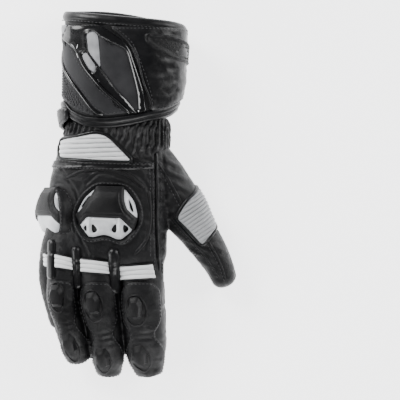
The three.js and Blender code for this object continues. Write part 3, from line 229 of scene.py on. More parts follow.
# Plan outlines on the cuff, in shares of its width and of its length from the hem
HEM_CURVE = [
    (-0.62, 0.17), (-0.46, 0.142), (-0.367, 0.043), (-0.245, -0.018), (-0.1, -0.03), (0.08, -0.005),
    (0.221, 0.033), (0.4, 0.09), (0.49, 0.16), (0.62, 0.2),
]
FRAME = [
    (-0.6, 0.945), (-0.163, 0.945), (-0.098, 0.9), (0.049, 0.77), (0.088, 0.7), (0.218, 0.1),
    (0.1, 0.075), (-0.105, 0.3), (-0.254, 0.513), (-0.366, 0.751), (-0.46, 0.92), (-0.6, 0.935),
]
PLATE_HOLE = [
    (-0.263, 0.86), (-0.2, 0.885), (-0.163, 0.83), (0.054, 0.7), (0.075, 0.64), (0.16, 0.11),
    (0.135, 0.1), (-0.035, 0.33), (-0.19, 0.585), (-0.25, 0.69),
]
PLATE = [
    (-0.163, 0.83), (0.054, 0.7), (0.075, 0.64), (0.16, 0.11), (0.135, 0.1), (-0.035, 0.33),
    (-0.145, 0.51),
]
UPPER_WINDOW = [
    (-0.263, 0.86), (-0.2, 0.885), (-0.168, 0.83), (-0.148, 0.525), (-0.19, 0.585), (-0.25, 0.69),
]
LOWER_WINDOW = [(-0.302, 0.645), (-0.266, 0.685), (-0.184, 0.542), (-0.196, 0.468), (-0.245, 0.515)]
STRIPE = [
    (-0.6, 0.9), (-0.478, 0.9), (-0.386, 0.751), (-0.274, 0.513), (-0.125, 0.3), (0.07, 0.085),
    (-0.11, 0.06), (-0.2, 0.12), (-0.34, 0.343), (-0.44, 0.55), (-0.6, 0.75),
]
UPPER_PIPING = [
    (-0.6, 0.93), (-0.468, 0.91), (-0.376, 0.751), (-0.264, 0.513), (-0.115, 0.3), (0.085, 0.08),
]
LOWER_PIPING = [(-0.6, 0.735), (-0.44, 0.535), (-0.35, 0.343), (-0.21, 0.12), (-0.13, 0.065)]
WINDOW_LINE = [(-0.325, 0.755), (-0.335, 0.69), (-0.325, 0.625)]
CORNER_PATCH = [(-0.6, 0.955), (-0.405, 0.955), (-0.43, 0.885), (-0.6, 0.885)]
CORNER_WEDGE = [(-0.6, 0.88), (-0.44, 0.875), (-0.42, 0.74), (-0.6, 0.84)]
SPECKLED = [
    [(-0.13, 0.87), (-0.03, 0.8), (-0.05, 0.72), (-0.13, 0.8)],
    [(-0.2, 0.39), (-0.12, 0.38), (-0.13, 0.28), (-0.19, 0.33)],
    [(-0.08, 0.22), (0.0, 0.19), (0.03, 0.1), (-0.05, 0.15)],
]
MESH_BACK = [
    (-0.6, 0.72), (-0.45, 0.52), (-0.36, 0.33), (-0.22, 0.11), (-0.2, 0.055), (-0.35, 0.12),
    (-0.44, 0.22),
]
MESH_PALM = [(-0.47, 0.24), (-0.2, 0.5), (-0.09, 0.68), (-0.2, 0.76)]
PALM_RIBS = [(0.019, 0.605), (-0.067, 0.66), (-0.45, 0.215), (-0.442, 0.12), (-0.365, 0.12)]
PALM_PLATE = [(0.038, 0.55), (-0.005, 0.56), (-0.34, 0.13), (0.038, 0.13)]
FLAP_BACK = [(-0.085, 0.93), (0.062, 0.79), (0.105, 0.71), (0.245, 0.1), (0.372, 0.125), (0.47, 0.2)]
FLAP_PALM = [(0.47, 0.26), (0.285, 0.37), (0.16, 0.5), (0.095, 0.69), (0.055, 0.85), (0.05, 0.93)]
FLAP_PATCH = [
    (0.21, 0.87), (0.2, 0.78), (0.26, 0.72), (0.44, 0.6), (0.62, 0.56), (0.62, 0.74), (0.4, 0.84),
]
FLAP_RIDGE = [(0.09, 0.755), (0.135, 0.68), (0.2, 0.37), (0.265, 0.14)]
STRAP_PALM = [(0.113, 0.5625), (0.113, 0.422), (-0.38, 0.455), (-0.7, 0.475)]
STRAP_BACK = [(-0.38, 0.53), (-0.385, 0.61), (-0.7, 0.605)]
STRAP_TAB = [(0.28, 0.6), (0.135, 0.6), (0.135, 0.445), (0.27, 0.437)]

# Guard outlines about the guard's own centre, in shares of its width and length
GUARD_RIM = [
    (-0.147, 0.42), (-0.356, 0.245), (-0.49, -0.02), (-0.42, -0.27), (-0.276, -0.447), (-0.02, -0.38),
    (0.208, -0.49), (0.397, -0.32), (0.49, -0.08), (0.437, 0.17), (0.27, 0.4),
]
GUARD_SHIELD = [
    (-0.165, 0.435), (0.28, 0.42), (0.29, 0.19), (0.335, 0.053), (0.49, -0.11), (0.425, -0.31),
    (0.237, -0.1), (-0.305, -0.075), (-0.43, -0.215), (-0.505, -0.03), (-0.43, 0.02), (-0.215, 0.33),
]
GUARD_SLOTS = [
    [(-0.25, 0.3), (-0.37, 0.15), (-0.43, 0.05), (-0.3, 0.17)],
    [(0.345, 0.24), (0.41, 0.1), (0.435, -0.03), (0.37, 0.05)],
]
GUARD_VENTS = [
    [(-0.32, -0.2), (-0.32, -0.34), (-0.385, -0.26)],
    [(-0.235, -0.16), (-0.235, -0.36), (-0.12, -0.3)],
    [(0.165, -0.16), (0.165, -0.36), (0.06, -0.3)],
    [(0.265, -0.18), (0.265, -0.37), (0.375, -0.27)],
]
GUARD_PLACE = (-0.094 * PALM_WIDTH, -0.078 * PALM_LENGTH, 0.94 * PALM_DEPTH, 6, 2, 0)
SIDE_GUARD_PLACE = (-0.532 * PALM_WIDTH, -0.068 * PALM_LENGTH, 0.575 * PALM_DEPTH, 57, 0, 4)
SLIDERS = {"index": (0.322, 0.77), "middle": (0.274, 0.79), "ring": (0.243, 0.76)}
SLIDER_ACROSS = -0.28
SLIDER_TILT = 16
# The hourglass overlay of a finger: at, left and right edges in shares of the half width
OVERLAY = [
    (0.075, -0.62, 0.52),
    (0.17, -0.86, 0.82),
    (0.42, -0.86, 0.82),
    (0.54, -0.6, 0.42),
    (0.67, -0.86, 0.82),
    (0.86, -0.98, 0.96),
    (0.97, -0.99, 0.99),
]
THUMB_PANEL = [
    (0.46, -0.39), (0.405, 0.4), (0.37, 1.3), (0.62, 1.3), (0.66, 0.4), (0.678, -0.21), (0.56, -0.28),
]


THUMB_SEAMS = [
    [(0.1, 0.1), (0.25, 0.12), (0.4, 0.1)],
    [(0.45, -0.55), (0.58, -0.5), (0.72, -0.45), (0.9, -0.3)],
    [(0.68, 0.2), (0.8, 0.15), (0.93, 0.1)],
]
THUMB_VENTS = [(0.44, -0.45), (0.45, -0.98), (0.72, -0.98), (0.74, -0.5), (0.58, -0.35)]
PALM_WELTS = [
    [(0.3, 0.34), (0.16, 0.34), (-0.08, 0.3), (-0.13, 0.2), (-0.06, 0.1), (0.12, 0.0), (0.3, -0.1)],
    [(-0.2, 0.34), (-0.17, 0.2), (-0.3, 0.1), (-0.5, -0.04)],
    [(-0.1, -0.19), (-0.11, -0.3), (-0.13, -0.4)],
]


def on_hand(points):
    """Points given in shares of the palm, in millimetres."""
    return [(x * PALM_WIDTH, y * PALM_LENGTH) for x, y in points]


def on_cuff(points):
    """Points given in shares of the cuff from its hem, in millimetres."""
    return [(x * CUFF_WIDTH, HEM_Y + y * CUFF_LENGTH) for x, y in points]


slider_plan = np.array(on_hand(PALM_SLIDER))
ORIGIN = np.append((slider_plan.min(0) + slider_plan.max(0)) / 2, 0)


# Curves and sections


def through(xs, ys, x):
    """A smooth curve through a table's rows that never overshoots them, read at x."""
    xs, ys = np.asarray(xs, float), np.asarray(ys, float)
    x = np.clip(np.asarray(x, float), xs[0], xs[-1])
    step = np.diff(xs)
    slope = np.diff(ys) / step
    lean = np.zeros_like(ys)
    product = slope[:-1] * slope[1:]
    total = np.where(product > 0, slope[:-1] + slope[1:], 1)
    lean[1:-1] = np.where(product > 0, 2 * product / total, 0)
    lean[0], lean[-1] = slope[0], slope[-1]
    i = np.clip(np.searchsorted(xs, x, side="right") - 1, 0, len(xs) - 2)
    t = (x - xs[i]) / step[i]
    a = (1 + 2 * t) * (1 - t) ** 2 * ys[i] + t * (1 - t) ** 2 * step[i] * lean[i]
    return a + t * t * (3 - 2 * t) * ys[i + 1] + t * t * (t - 1) * step[i] * lean[i + 1]


def oval(angle, power):
    """A point of an oval with half widths of 1, rounder or boxier by its power."""
    c, s = np.cos(angle), np.sin(angle)
    reach = (np.abs(c) ** power + np.abs(s) ** power) ** (-1 / power)
    return reach * c, reach * s


def oval_angle(across, power):
    """The angle of a point on the upper half of an oval, from its share of the half width."""
    across = np.clip(across, -1, 1)
    return np.arctan2((1 - np.abs(across) ** power) ** (1 / power), across)


def step_up(low, high, x):
    """A smooth rise from 0 at low to 1 at high."""
    t = np.clip((x - low) / (high - low), 0, 1)
    return t * t * (3 - 2 * t)


class Tube:
    """The hand or the cuff: level sections along Y, each an oval."""

    def __init__(self, rows, start, length, width, depth, power):
        table = np.array(rows, float)
        self.ys = start + table[:, 0] * length
        self.cols = table[:, 1:] * [width, width, depth, depth, depth]
        self.power = power

    def section(self, y):
        """The width, heights and tilt of the section at y."""
        return [through(self.ys, self.cols[:, k], y) for k in range(5)]

    def at(self, angle, y, grow=0.0):
        """The point at an angle round the section at y."""
        centre, half, low, high, tilt = self.section(y)
        middle = low + (high - low) * SECTION_MIDDLE
        across, height = oval(angle, self.power)
        reach = np.where(height > 0, high - middle, middle - low) + grow
        lift = reach * height + tilt * across * np.maximum(height, 0)
        y = np.broadcast_to(y, lift.shape)
        return np.stack([centre + (half + grow) * across, y, middle + lift], -1)

    def wrap(self, points, side="back", edge=0.35):
        """Plan points as turns round the tube and lengths along it. Points past the edge of the tube
        go to where its side is as high as edge, in shares of the section's height."""
        points = np.array(points, float)
        x, y = points[:, 0], points[:, 1]
        centre, half, low, high, _ = self.section(y)
        share = (x - centre) / half
        turn = oval_angle(share, self.power)
        middle = low + (high - low) * SECTION_MIDDLE
        drop = np.clip((middle - (low + (high - low) * edge)) / (middle - low), 0, 1)
        tuck = np.arctan2(drop, (1 - drop**self.power) ** (1 / self.power))
        if side == "back":
            turn = np.where(share <= -0.99, math.pi + tuck, turn)
            turn = np.where(share >= 0.99, -tuck, turn)
        elif side == "palm":
            turn = 2 * math.pi - turn
            turn = np.where(share <= -0.99, math.pi + tuck, turn)
        else:
            turn = -turn
        return np.stack([turn * WRAP_RADIUS, y], -1)


class Limb:
    """A finger or the thumb: ovals along its own line, closed by a round tip."""

    def __init__(self, along, centres, halves, deeps, tip, length):
        self.along, self.centres = np.array(along), np.array(centres, float)
        self.halves, self.deeps = np.array(halves), np.array(deeps)
        self.tip, self.length = tip, length
        self.end = self.along[-1] + tip / length

    def centre(self, v):
        """The middle of the section at v."""
        return np.stack([through(self.along, self.centres[:, k], v) for k in range(3)], -1)

    def frame(self, v):
        """The ways ahead, sideways and up at v."""
        v = np.clip(v, self.along[0] + 0.01, self.along[-1] - 0.01)
        ahead = self.centre(v + 0.01) - self.centre(v - 0.01)
        ahead /= np.linalg.norm(ahead, axis=-1, keepdims=True)
        side = np.cross([0, 0, 1], ahead)
        side /= np.linalg.norm(side, axis=-1, keepdims=True)
        return ahead, side, np.cross(ahead, side)

    def at(self, angle, v, grow=0.0):
        """The point at an angle round the section at v."""
        angle, v = np.broadcast_arrays(np.asarray(angle, float), np.asarray(v, float))
        ahead, side, up = self.frame(v)
        past = np.maximum(v - self.along[-1], 0) * self.length
        past = np.minimum(past, self.tip * 0.999)
        share = np.sqrt(1 - (past / self.tip) ** 2)
        half = (through(self.along, self.halves, v) + grow) * share
        deep = (through(self.along, self.deeps, v) + grow) * share
        across, height = oval(angle, FINGER_POWER)
        centre = self.centre(
            np.minimum(v, self.along[-1]),
        ) + ahead * (past * (1 + grow / self.tip))[..., None]
        return centre + side * (half * across)[..., None] + up * (deep * height)[..., None]


hand = Tube(HAND, 0, PALM_LENGTH, PALM_WIDTH, PALM_DEPTH, HAND_POWER)
cuff = Tube(CUFF, HEM_Y, CUFF_LENGTH, CUFF_WIDTH, CUFF_DEPTH, CUFF_POWER)


def finger(name):
    """The form of a finger from its row of sections."""
    rows = np.array(FINGERS[name]["rows"])
    centres = np.stack(
        [rows[:, 1] * PALM_WIDTH, CROTCH_Y - rows[:, 0] * FINGER_LENGTH, rows[:, 3] * FINGER_DEPTH], -1
    )
    halves, deeps = rows[:, 2] * FINGER_WIDTH, rows[:, 4] * FINGER_DEPTH
    return Limb(rows[:, 0], centres, halves, deeps, FINGERS[name]["tip"], FINGER_LENGTH)


THUMB_AHEAD = np.array([math.sin(THUMB_ANGLE), -math.cos(THUMB_ANGLE), 0])
THUMB_OUT = np.array([math.cos(THUMB_ANGLE), math.sin(THUMB_ANGLE), 0])


def thumb_limb():
    """The form of the thumb, which leans out from the palm."""
    rows = np.array(THUMB)
    root = np.array([THUMB_ROOT[0] * PALM_WIDTH, THUMB_ROOT[1] * PALM_LENGTH, 0])
    centres = root + rows[:, :1] * THUMB_LENGTH * THUMB_AHEAD + rows[:, 1:2] * THUMB_WIDTH * THUMB_OUT
    centres[:, 2] = rows[:, 3] * THUMB_DEPTH
    return Limb(
        rows[:, 0], centres, rows[:, 2] * THUMB_WIDTH, rows[:, 4] * THUMB_DEPTH, THUMB_TIP, THUMB_LENGTH
    )


limbs = {name: finger(name) for name in FINGERS}
thumb = thumb_limb()


def hem_at(x):
    """The cuff's hem at x."""
    table = np.array(on_cuff(HEM_CURVE))
    return through(table[:, 0], table[:, 1], x)


def mouth_at(x, z):
    """The cuff's mouth at x and z."""
    across, height = x / CUFF_WIDTH, np.clip(z / CUFF_DEPTH, 0, 1)
    back = 1 - 0.103 * across
    palm = 1.08 - 0.1 * across - 0.3 * (across + 0.1) ** 2
    return HEM_Y + (palm + (back - palm) * height) * CUFF_LENGTH


# Surfaces that pieces are laid on


class Wrap:
    """The outside of a form, by turns round it (u, in mm at a radius) and length along it (v)."""

    def __init__(self, form, radius, length=1.0, tree=None, grow=0.0):
        self.form, self.radius, self.length = form, radius, length
        self.tree, self.grow = tree, grow

    def point(self, u, v):
        """A point of the bare form."""
        return self.form.at(u / self.radius, v / self.length, self.grow)

    def at(self, uv):
        """Points and their normals."""
        u, v = uv[:, 0], uv[:, 1]
        e = 0.4
        p = self.point(u, v)
        du = self.point(u + e, v) - self.point(u - e, v)
        dv = self.point(u, v + e) - self.point(u, v - e)
        n = np.cross(du, dv)
        size = np.linalg.norm(n, axis=-1, keepdims=True)
        away = p - self.point(u + math.pi * self.radius, v)
        away /= np.maximum(np.linalg.norm(away, axis=-1, keepdims=True), 1e-9)
        n = np.where(size > 1e-6, n / np.maximum(size, 1e-9), away)
        n *= np.where((n * away).sum(-1, keepdims=True) < 0, -1, 1)
        if self.tree:
            p = cast(self.tree, p, n)
        return p, n


def cast(tree, points, normals, reach=9.0):
    """Points moved on to the skin along their normals, where it is near."""
    out = points.copy()
    for i, (p, n) in enumerate(zip(points, normals)):
        start = Vector(p + n * reach)
        hit = tree.ray_cast(start, Vector(-n), reach * 2)[0]
        if hit is not None and (hit - Vector(p)).length < reach * 0.45:
            out[i] = hit
    return out


class Relief:
    """The skin seen straight from above or below, as smoothed heights on a grid."""

    def __init__(self, tree, side, soft, step=1.0):
        self.low, self.step, self.side = np.array([-80.0, -160.0]), step, side
        nx, ny = 190, 260
        z = np.full((nx, ny), np.nan)
        down = Vector((0, 0, -side))
        for i in range(nx):
            for j in range(ny):
                x, y = self.low + [i * step, j * step]
                hit = tree.ray_cast(Vector((x, y, 200.0 * side)), down)[0]
                if hit is not None:
                    z[i, j] = hit.z
        for _ in range(12):
            gap = np.isnan(z)
            if not gap.any():
                break
            padded = np.pad(z, 1, constant_values=np.nan)
            near = np.stack(
                [padded[a : a + nx, b : b + ny] for a in range(3) for b in range(3)]
            )
            known = (~np.isnan(near)).sum(0)
            level = np.nansum(near, axis=0) / np.maximum(known, 1)
            z = np.where(gap & (known > 0), level, z)
        z = np.where(np.isnan(z), SECTION_MIDDLE * PALM_DEPTH, z)
        for _ in range(soft):
            z = (np.roll(z, 1, 0) + 2 * z + np.roll(z, -1, 0)) / 4
            z = (np.roll(z, 1, 1) + 2 * z + np.roll(z, -1, 1)) / 4
        self.z = z
        self.gx, self.gy = np.gradient(z, step)

    def read(self, grid, uv):
        """A grid read between its points."""
        f = (uv - self.low) / self.step
        i = np.clip(np.floor(f).astype(int), 0, np.array(grid.shape) - 2)
        t = np.clip(f - i, 0, 1)
        a, b = i[:, 0], i[:, 1]
        low = grid[a, b] * (1 - t[:, 0]) + grid[a + 1, b] * t[:, 0]
        high = grid[a, b + 1] * (1 - t[:, 0]) + grid[a + 1, b + 1] * t[:, 0]
        return low * (1 - t[:, 1]) + high * t[:, 1]

    def at(self, uv):
        """Points and their normals."""
        z = self.read(self.z, uv)
        slope = np.stack([self.read(self.gx, uv), self.read(self.gy, uv)], -1)
        steep = np.maximum(np.linalg.norm(slope, axis=-1, keepdims=True) / 1.6, 1)
        slope = slope / steep
        n = np.concatenate([-slope * self.side, np.full((len(uv), 1), float(self.side))], 1)
        n /= np.linalg.norm(n, axis=-1, keepdims=True)
        return np.concatenate([uv, z[:, None]], 1), n


class Plane:
    """A guard's own flat frame, settled on the glove by its place."""

    def __init__(self, place):
        x, y, z, tilt, pitch, spin = place
        self.origin = np.array([x, y, z])
        self.turn = turned(tilt, pitch, spin)

    def at(self, uv):
        """Points and their normals."""
        p = np.concatenate([uv, np.zeros((len(uv), 1))], 1) @ self.turn.T + self.origin
        n = np.tile(self.turn @ [0, 0, 1], (len(uv), 1))
        return p, n


def turned(tilt, pitch, spin):
    """Tilt leans a piece to the little finger's side and pitch leans it to the fingertips."""
    a, b, c = math.radians(pitch), math.radians(-tilt), math.radians(spin)
    about_x = np.array([[1, 0, 0], [0, math.cos(a), -math.sin(a)], [0, math.sin(a), math.cos(a)]])
    about_y = np.array([[math.cos(b), 0, math.sin(b)], [0, 1, 0], [-math.sin(b), 0, math.cos(b)]])
    about_z = np.array([[math.cos(c), -math.sin(c), 0], [math.sin(c), math.cos(c), 0], [0, 0, 1]])
    return about_z @ about_y @ about_x


# Meshes


def signed_volume(points, faces):
    """Six times the volume inside, negative where faces look inwards."""
    total = 0.0
    for face in faces:
        a = points[face[0]]
        for k in range(1, len(face) - 1):
            total += np.dot(a, np.cross(points[face[k]], points[face[k + 1]]))
    return total


def add_piece(name, points, faces, finish, nodes=(), slot=None, crease=40, paint=None, smooth=True):
    """Puts one closed body, given in drafting millimetres, into the scene."""
    points = np.array(points, float)
    points[:, 2] = np.maximum(points[:, 2], 0.02)
    faces = [list(map(int, face)) for face in faces]
    if signed_volume(points - points.mean(0), faces) < 0:
        faces = [face[::-1] for face in faces]
    mesh = bpy.data.meshes.new(name)
    mesh.from_pydata(((points - ORIGIN) * MM).tolist(), [], faces)
    mesh.validate()
    for one in [finish] if isinstance(finish, str) else finish:
        mesh.materials.append(material(one))
    if paint is not None:
        mesh.polygons.foreach_set("material_index", np.asarray(paint, np.int32))
    mesh.polygons.foreach_set("use_smooth", np.full(len(mesh.polygons), smooth))
    if smooth:
        mesh.set_sharp_from_angle(angle=math.radians(crease))
    made = bpy.data.objects.new(name, mesh)
    bpy.context.scene.collection.objects.link(made)
    return claim(made, nodes, slot)


def laid_out(piece, outline, surface):
    """Works out the flat size that a sheet was cut to, measured over the form that it was laid on; the size is kept
    nowhere.
    """
    uv = rounded_loop(outline, 4, 2.0)
    low, high = uv.min(0), uv.max(0)
    cross = uv[:, 0] * np.roll(uv[:, 1], -1) - np.roll(uv[:, 0], -1) * uv[:, 1]
    share = abs(cross.sum()) / 2 / np.prod(high - low)
    middle = np.array([(low + high) / 2])
    near = surface.at(np.vstack([middle, middle + [1, 0], middle + [0, 1]]))[0]
    grain_way = np.linalg.norm(near[1:] - near[0], axis=1)
    body = piece.data
    area = sum(face.area for face in body.polygons) / 2
    flat = (high - low) * grain_way * MM
    flat *= math.sqrt(area / share / np.prod(flat))


def claim(made, nodes=(), slot=None):
    """Rides a piece on the root, in place of the CAD nodes that it dresses."""
    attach(made, "root")
    if nodes:
        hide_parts(*nodes)
    return made


def resample(line, step, closed=False):
    """A line with its points at even steps."""
    line = np.array(line, float)
    if closed:
        line = np.vstack([line, line[:1]])
    line = line[np.append(True, np.linalg.norm(np.diff(line, axis=0), axis=1) > 1e-6)]
    reach = np.append(0, np.cumsum(np.linalg.norm(np.diff(line, axis=0), axis=1)))
    count = max(int(round(reach[-1] / step)), 6 if closed else 2)
    at = np.linspace(0, reach[-1], count + 1)
    out = np.stack([np.interp(at, reach, line[:, k]) for k in range(line.shape[1])], -1)
    return out[:-1] if closed else out


def curved(line, step):
    """A smooth line through a few points."""
    line = np.array(line, float)
    if len(line) < 3:
        return resample(line, step)
    padded = np.vstack([2 * line[0] - line[1], line, 2 * line[-1] - line[-2]])
    out = []
    for i in range(len(line) - 1):
        a, b, c, d = padded[i : i + 4]
        for t in np.linspace(0, 1, 9)[: 9 if i == len(line) - 2 else 8]:
            out.append(
                0.5 * (2 * b + (c - a) * t + (2 * a - 5 * b + 4 * c - d) * t**2 + (3 * b - a - 3 * c + d) * t**3),
            )
    return resample(out, step)


def rounded_loop(outline, radius, step):
    """An outline with rounded corners and points at even steps."""
    corners = np.array(outline, float)
    corners = corners[np.linalg.norm(corners - np.roll(corners, 1, 0), axis=1) > 0.3]
    out = []
    for i, corner in enumerate(corners):
        ends = []
        for other in (corners[i - 1], corners[(i + 1) % len(corners)]):
            away = other - corner
            size = np.linalg.norm(away)
            ends.append(corner + away / size * min(radius, size * 0.45))
        for t in np.linspace(0, 1, 7):
            out.append((1 - t) ** 2 * ends[0] + 2 * t * (1 - t) * corner + t * t * ends[1])
    return resample(out, step, closed=True)


def loop_distance(points, loops):
    """Each point's distance from the nearest closed loop."""
    best = np.full(len(points), 1e9)
    for loop in loops:
        a, b = loop, np.roll(loop, -1, 0)
        span = b - a
        size = np.maximum((span**2).sum(1), 1e-12)
        for start in range(0, len(points), 2000):
            p = points[start : start + 2000, None]
            t = np.clip(((p - a) * span).sum(-1) / size, 0, 1)
            gap = np.linalg.norm(p - (a + t[..., None] * span), axis=-1).min(1)
            best[start : start + 2000] = np.minimum(best[start : start + 2000], gap)
    return best


def line_distance(points, line):
    """Each point's distance from an open line."""
    a, b = line[:-1], line[1:]
    span = b - a
    size = np.maximum((span**2).sum(1), 1e-12)
    best = np.full(len(points), 1e9)
    for start in range(0, len(points), 4000):
        p = points[start : start + 4000, None]
        t = np.clip(((p - a) * span).sum(-1) / size, 0, 1)
        best[start : start + 4000] = np.linalg.norm(p - (a + t[..., None] * span), axis=-1).min(1)
    return best


def inside(points, loop):
    """Which points lie inside a closed loop."""
    x, y = points[:, 0][:, None], points[:, 1][:, None]
    a, b = loop, np.roll(loop, -1, 0)
    cross = (a[:, 1] > y) != (b[:, 1] > y)
    with np.errstate(all="ignore"):
        at = (b[:, 0] - a[:, 0]) * (y - a[:, 1]) / (b[:, 1] - a[:, 1]) + a[:, 0]
    return (cross & (x < at)).sum(1) % 2 == 1


def filled(outline, holes, radius, step):
    """An outline filled with triangles, and each point's distance from its edges."""
    loops = [rounded_loop(outline, radius, step)] + [rounded_loop(h, radius, step) for h in holes]
    keep = [*loops]
    for depth in (0.45, 1.0):
        for k, loop in enumerate(loops):
            ahead = np.roll(loop, -1, 0) - np.roll(loop, 1, 0)
            ahead /= np.linalg.norm(ahead, axis=1, keepdims=True)
            across = np.stack([-ahead[:, 1], ahead[:, 0]], -1)
            for sign in (1, -1):
                ring = loop + across * depth * sign
                good = inside(ring, loops[0]) & (loop_distance(ring, loops) > depth * 0.93)
                for hole in loops[1:]:
                    good &= ~inside(ring, hole)
                keep.append(ring[good])
    low, high = loops[0].min(0), loops[0].max(0)
    gx = np.arange(low[0], high[0] + step, step)
    gy = np.arange(low[1], high[1] + step, step * 0.87)
    grid = np.array([(x + (j % 2) * step / 2, y) for j, y in enumerate(gy) for x in gx])
    good = inside(grid, loops[0])
    for hole in loops[1:]:
        good &= ~inside(grid, hole)
    grid = grid[good]
    keep.append(grid[loop_distance(grid, loops) > 1.0 + step * 0.45])
    points = np.vstack(keep)
    edges, start = [], 0
    for loop in loops:
        n = len(loop)
        edges += [(start + i, start + (i + 1) % n) for i in range(n)]
        start += n
    verts, _, faces, *_ = delaunay_2d_cdt([Vector(p) for p in points], edges, [], 0, 1e-5)
    verts = np.array([tuple(v) for v in verts])
    faces = np.array(faces)
    middle = verts[faces].mean(1)
    good = inside(middle, loops[0])
    for hole in loops[1:]:
        good &= ~inside(middle, hole)
    faces = faces[good]
    used, index = np.unique(faces, return_inverse=True)
    verts, faces = verts[used], index.reshape(-1, 3)
    a, b, c = verts[faces[:, 0]], verts[faces[:, 1]], verts[faces[:, 2]]
    turn = (b[:, 0] - a[:, 0]) * (c[:, 1] - a[:, 1]) - (b[:, 1] - a[:, 1]) * (c[:, 0] - a[:, 0])
    faces[turn < 0] = faces[turn < 0][:, ::-1]
    return verts, faces, loop_distance(verts, loops)


def panel(
    name, outline, surface, height, finish, holes=(), radius=2.0, step=1.4, sink=0.8, paint=None, stitch=None, **more
):
    """A laid-on piece: an outline, filled, put on a surface and given its height there. A line of
    stitches runs round it, stitch millimetres inside its edge."""
    if stitch:
        sew(surface, height, outline, holes, radius, stitch)
    uv, top, edge = filled(outline, holes, radius, step)
    p, n = surface.at(uv)
    rise = height(uv, edge)
    drop = sink(uv) if callable(sink) else sink
    points = np.vstack([p + n * rise[:, None], p - n * np.broadcast_to(drop, rise.shape)[:, None]])
    count = len(uv)
    pairs = np.vstack([top[:, [0, 1]], top[:, [1, 2]], top[:, [2, 0]]])
    known = {tuple(pair) for pair in pairs}
    rim = [(a, b) for a, b in known if (b, a) not in known]
    faces = [*top.tolist(), *(top[:, ::-1] + count).tolist()]
    faces += [(a, a + count, b + count, b) for a, b in sorted(rim)]
    colours = None
    if paint is not None:
        shade = paint(uv[top].mean(1))
        colours = np.concatenate([shade, np.zeros(len(faces) - len(top), int)])
    return add_piece(name, points, faces, finish, paint=colours, **more)


def sew(surface, height, outline, holes, radius, inset):
    """Keeps a line of stitches just inside an outline, clear of its holes."""
    loops = [rounded_loop(edge, radius, 1.5) for edge in [outline, *holes]]
    loop = loops[0]
    ahead = np.roll(loop, -1, 0) - np.roll(loop, 1, 0)
    across = np.stack([-ahead[:, 1], ahead[:, 0]], -1)
    across /= np.maximum(np.linalg.norm(across, axis=1, keepdims=True), 1e-9)
    line = loop + across * inset
    if not inside(line, loop).mean() > 0.5:
        line = loop - across * inset
    good = inside(line, loop) & (loop_distance(line, loops) > inset * 0.9)
    for hole in loops[1:]:
        good &= ~inside(line, hole)
    start = int(np.argmin(good)) if not good.all() else 0
    line, good = np.roll(line, -start, 0), np.roll(good, -start)
    if good.all():
        line, good = np.vstack([line, line[:1]]), np.append(good, True)
    p, n = surface.at(line)
    p = p + n * (height(line, np.full(len(line), inset)) + 0.1)[:, None]
    runs = np.split(np.arange(len(line)), np.nonzero(~good)[0])
    for run in runs:
        run = run[good[run]]
        if len(run) > 4:
            made.setdefault("stitches", []).append((p[run], n[run]))


def sew_line(surface, line, rise=0.0, step=1.5):
    """Keeps a line of stitches along a line on a surface."""
    p, n = surface.at(curved(line, step))
    made.setdefault("stitches", []).append((p + n * rise, n))


def dots(surface, outline, pitch, rise, inset=1.5, holes=(), radius=2.0):
    """A staggered field of points inside an outline, with the surface's normals."""
    loops = [rounded_loop(edge, radius, 1.5) for edge in [outline, *holes]]
    low, high = loops[0].min(0), loops[0].max(0)
    rows = np.arange(low[1], high[1], pitch * 0.866)
    uv = np.array([(x + (j % 2) * pitch / 2, y) for j, y in enumerate(rows) for x in np.arange(low[0], high[0], pitch)])
    good = inside(uv, loops[0]) & (loop_distance(uv, loops) > inset)
    for hole in loops[1:]:
        good &= ~inside(uv, hole)
    uv = uv[good]
    p, n = surface.at(uv)
    return p + n * rise, n


def rod(points, normals, width, height, sides=10, lift=0.0, taper=3):
    """A cord or rolled seam along a line of points on a surface."""
    points, normals = np.array(points), np.array(normals)
    ahead = np.gradient(points, axis=0)
    ahead /= np.maximum(np.linalg.norm(ahead, axis=1, keepdims=True), 1e-9)
    side = np.cross(ahead, normals)
    side /= np.maximum(np.linalg.norm(side, axis=1, keepdims=True), 1e-9)
    count = len(points)
    ends = np.minimum(np.arange(count), np.arange(count)[::-1])
    share = np.sqrt(np.clip((ends + 0.35) / taper, 0, 1))
    phi = np.linspace(0, 2 * math.pi, sides, endpoint=False)
    ring = (
        points[:, None]
        + normals[:, None] * (lift + height * share[:, None] * np.sin(phi))[..., None]
        + side[:, None] * (width * share[:, None] * np.cos(phi))[..., None]
    )
    verts = np.vstack(
        [ring.reshape(-1, 3), points[:1] + normals[:1] * lift, points[-1:] + normals[-1:] * lift],
    )
    faces = []
    for r in range(count - 1):
        for s in range(sides):
            t = (s + 1) % sides
            faces.append((r * sides + s, r * sides + t, (r + 1) * sides + t, (r + 1) * sides + s))
    for s in range(sides):
        t = (s + 1) % sides
        faces.append((count * sides, t, s))
        faces.append((count * sides + 1, (count - 1) * sides + s, (count - 1) * sides + t))
    return verts, faces


def rods(name, lines, width, height, finish, lift=0.0, nodes=(), slot=None, sides=10):
    """Several rods in one piece. Each line is its points and normals."""
    verts, faces, start = [], [], 0
    for points, normals in lines:
        v, f = rod(points, normals, width, height, sides, lift)
        if signed_volume(v - v.mean(0), f) < 0:
            f = [face[::-1] for face in f]
        verts.append(v)
        faces += [tuple(i + start for i in face) for face in f]
        start += len(v)
    return add_piece(name, np.vstack(verts), faces, finish, nodes, slot, crease=60)


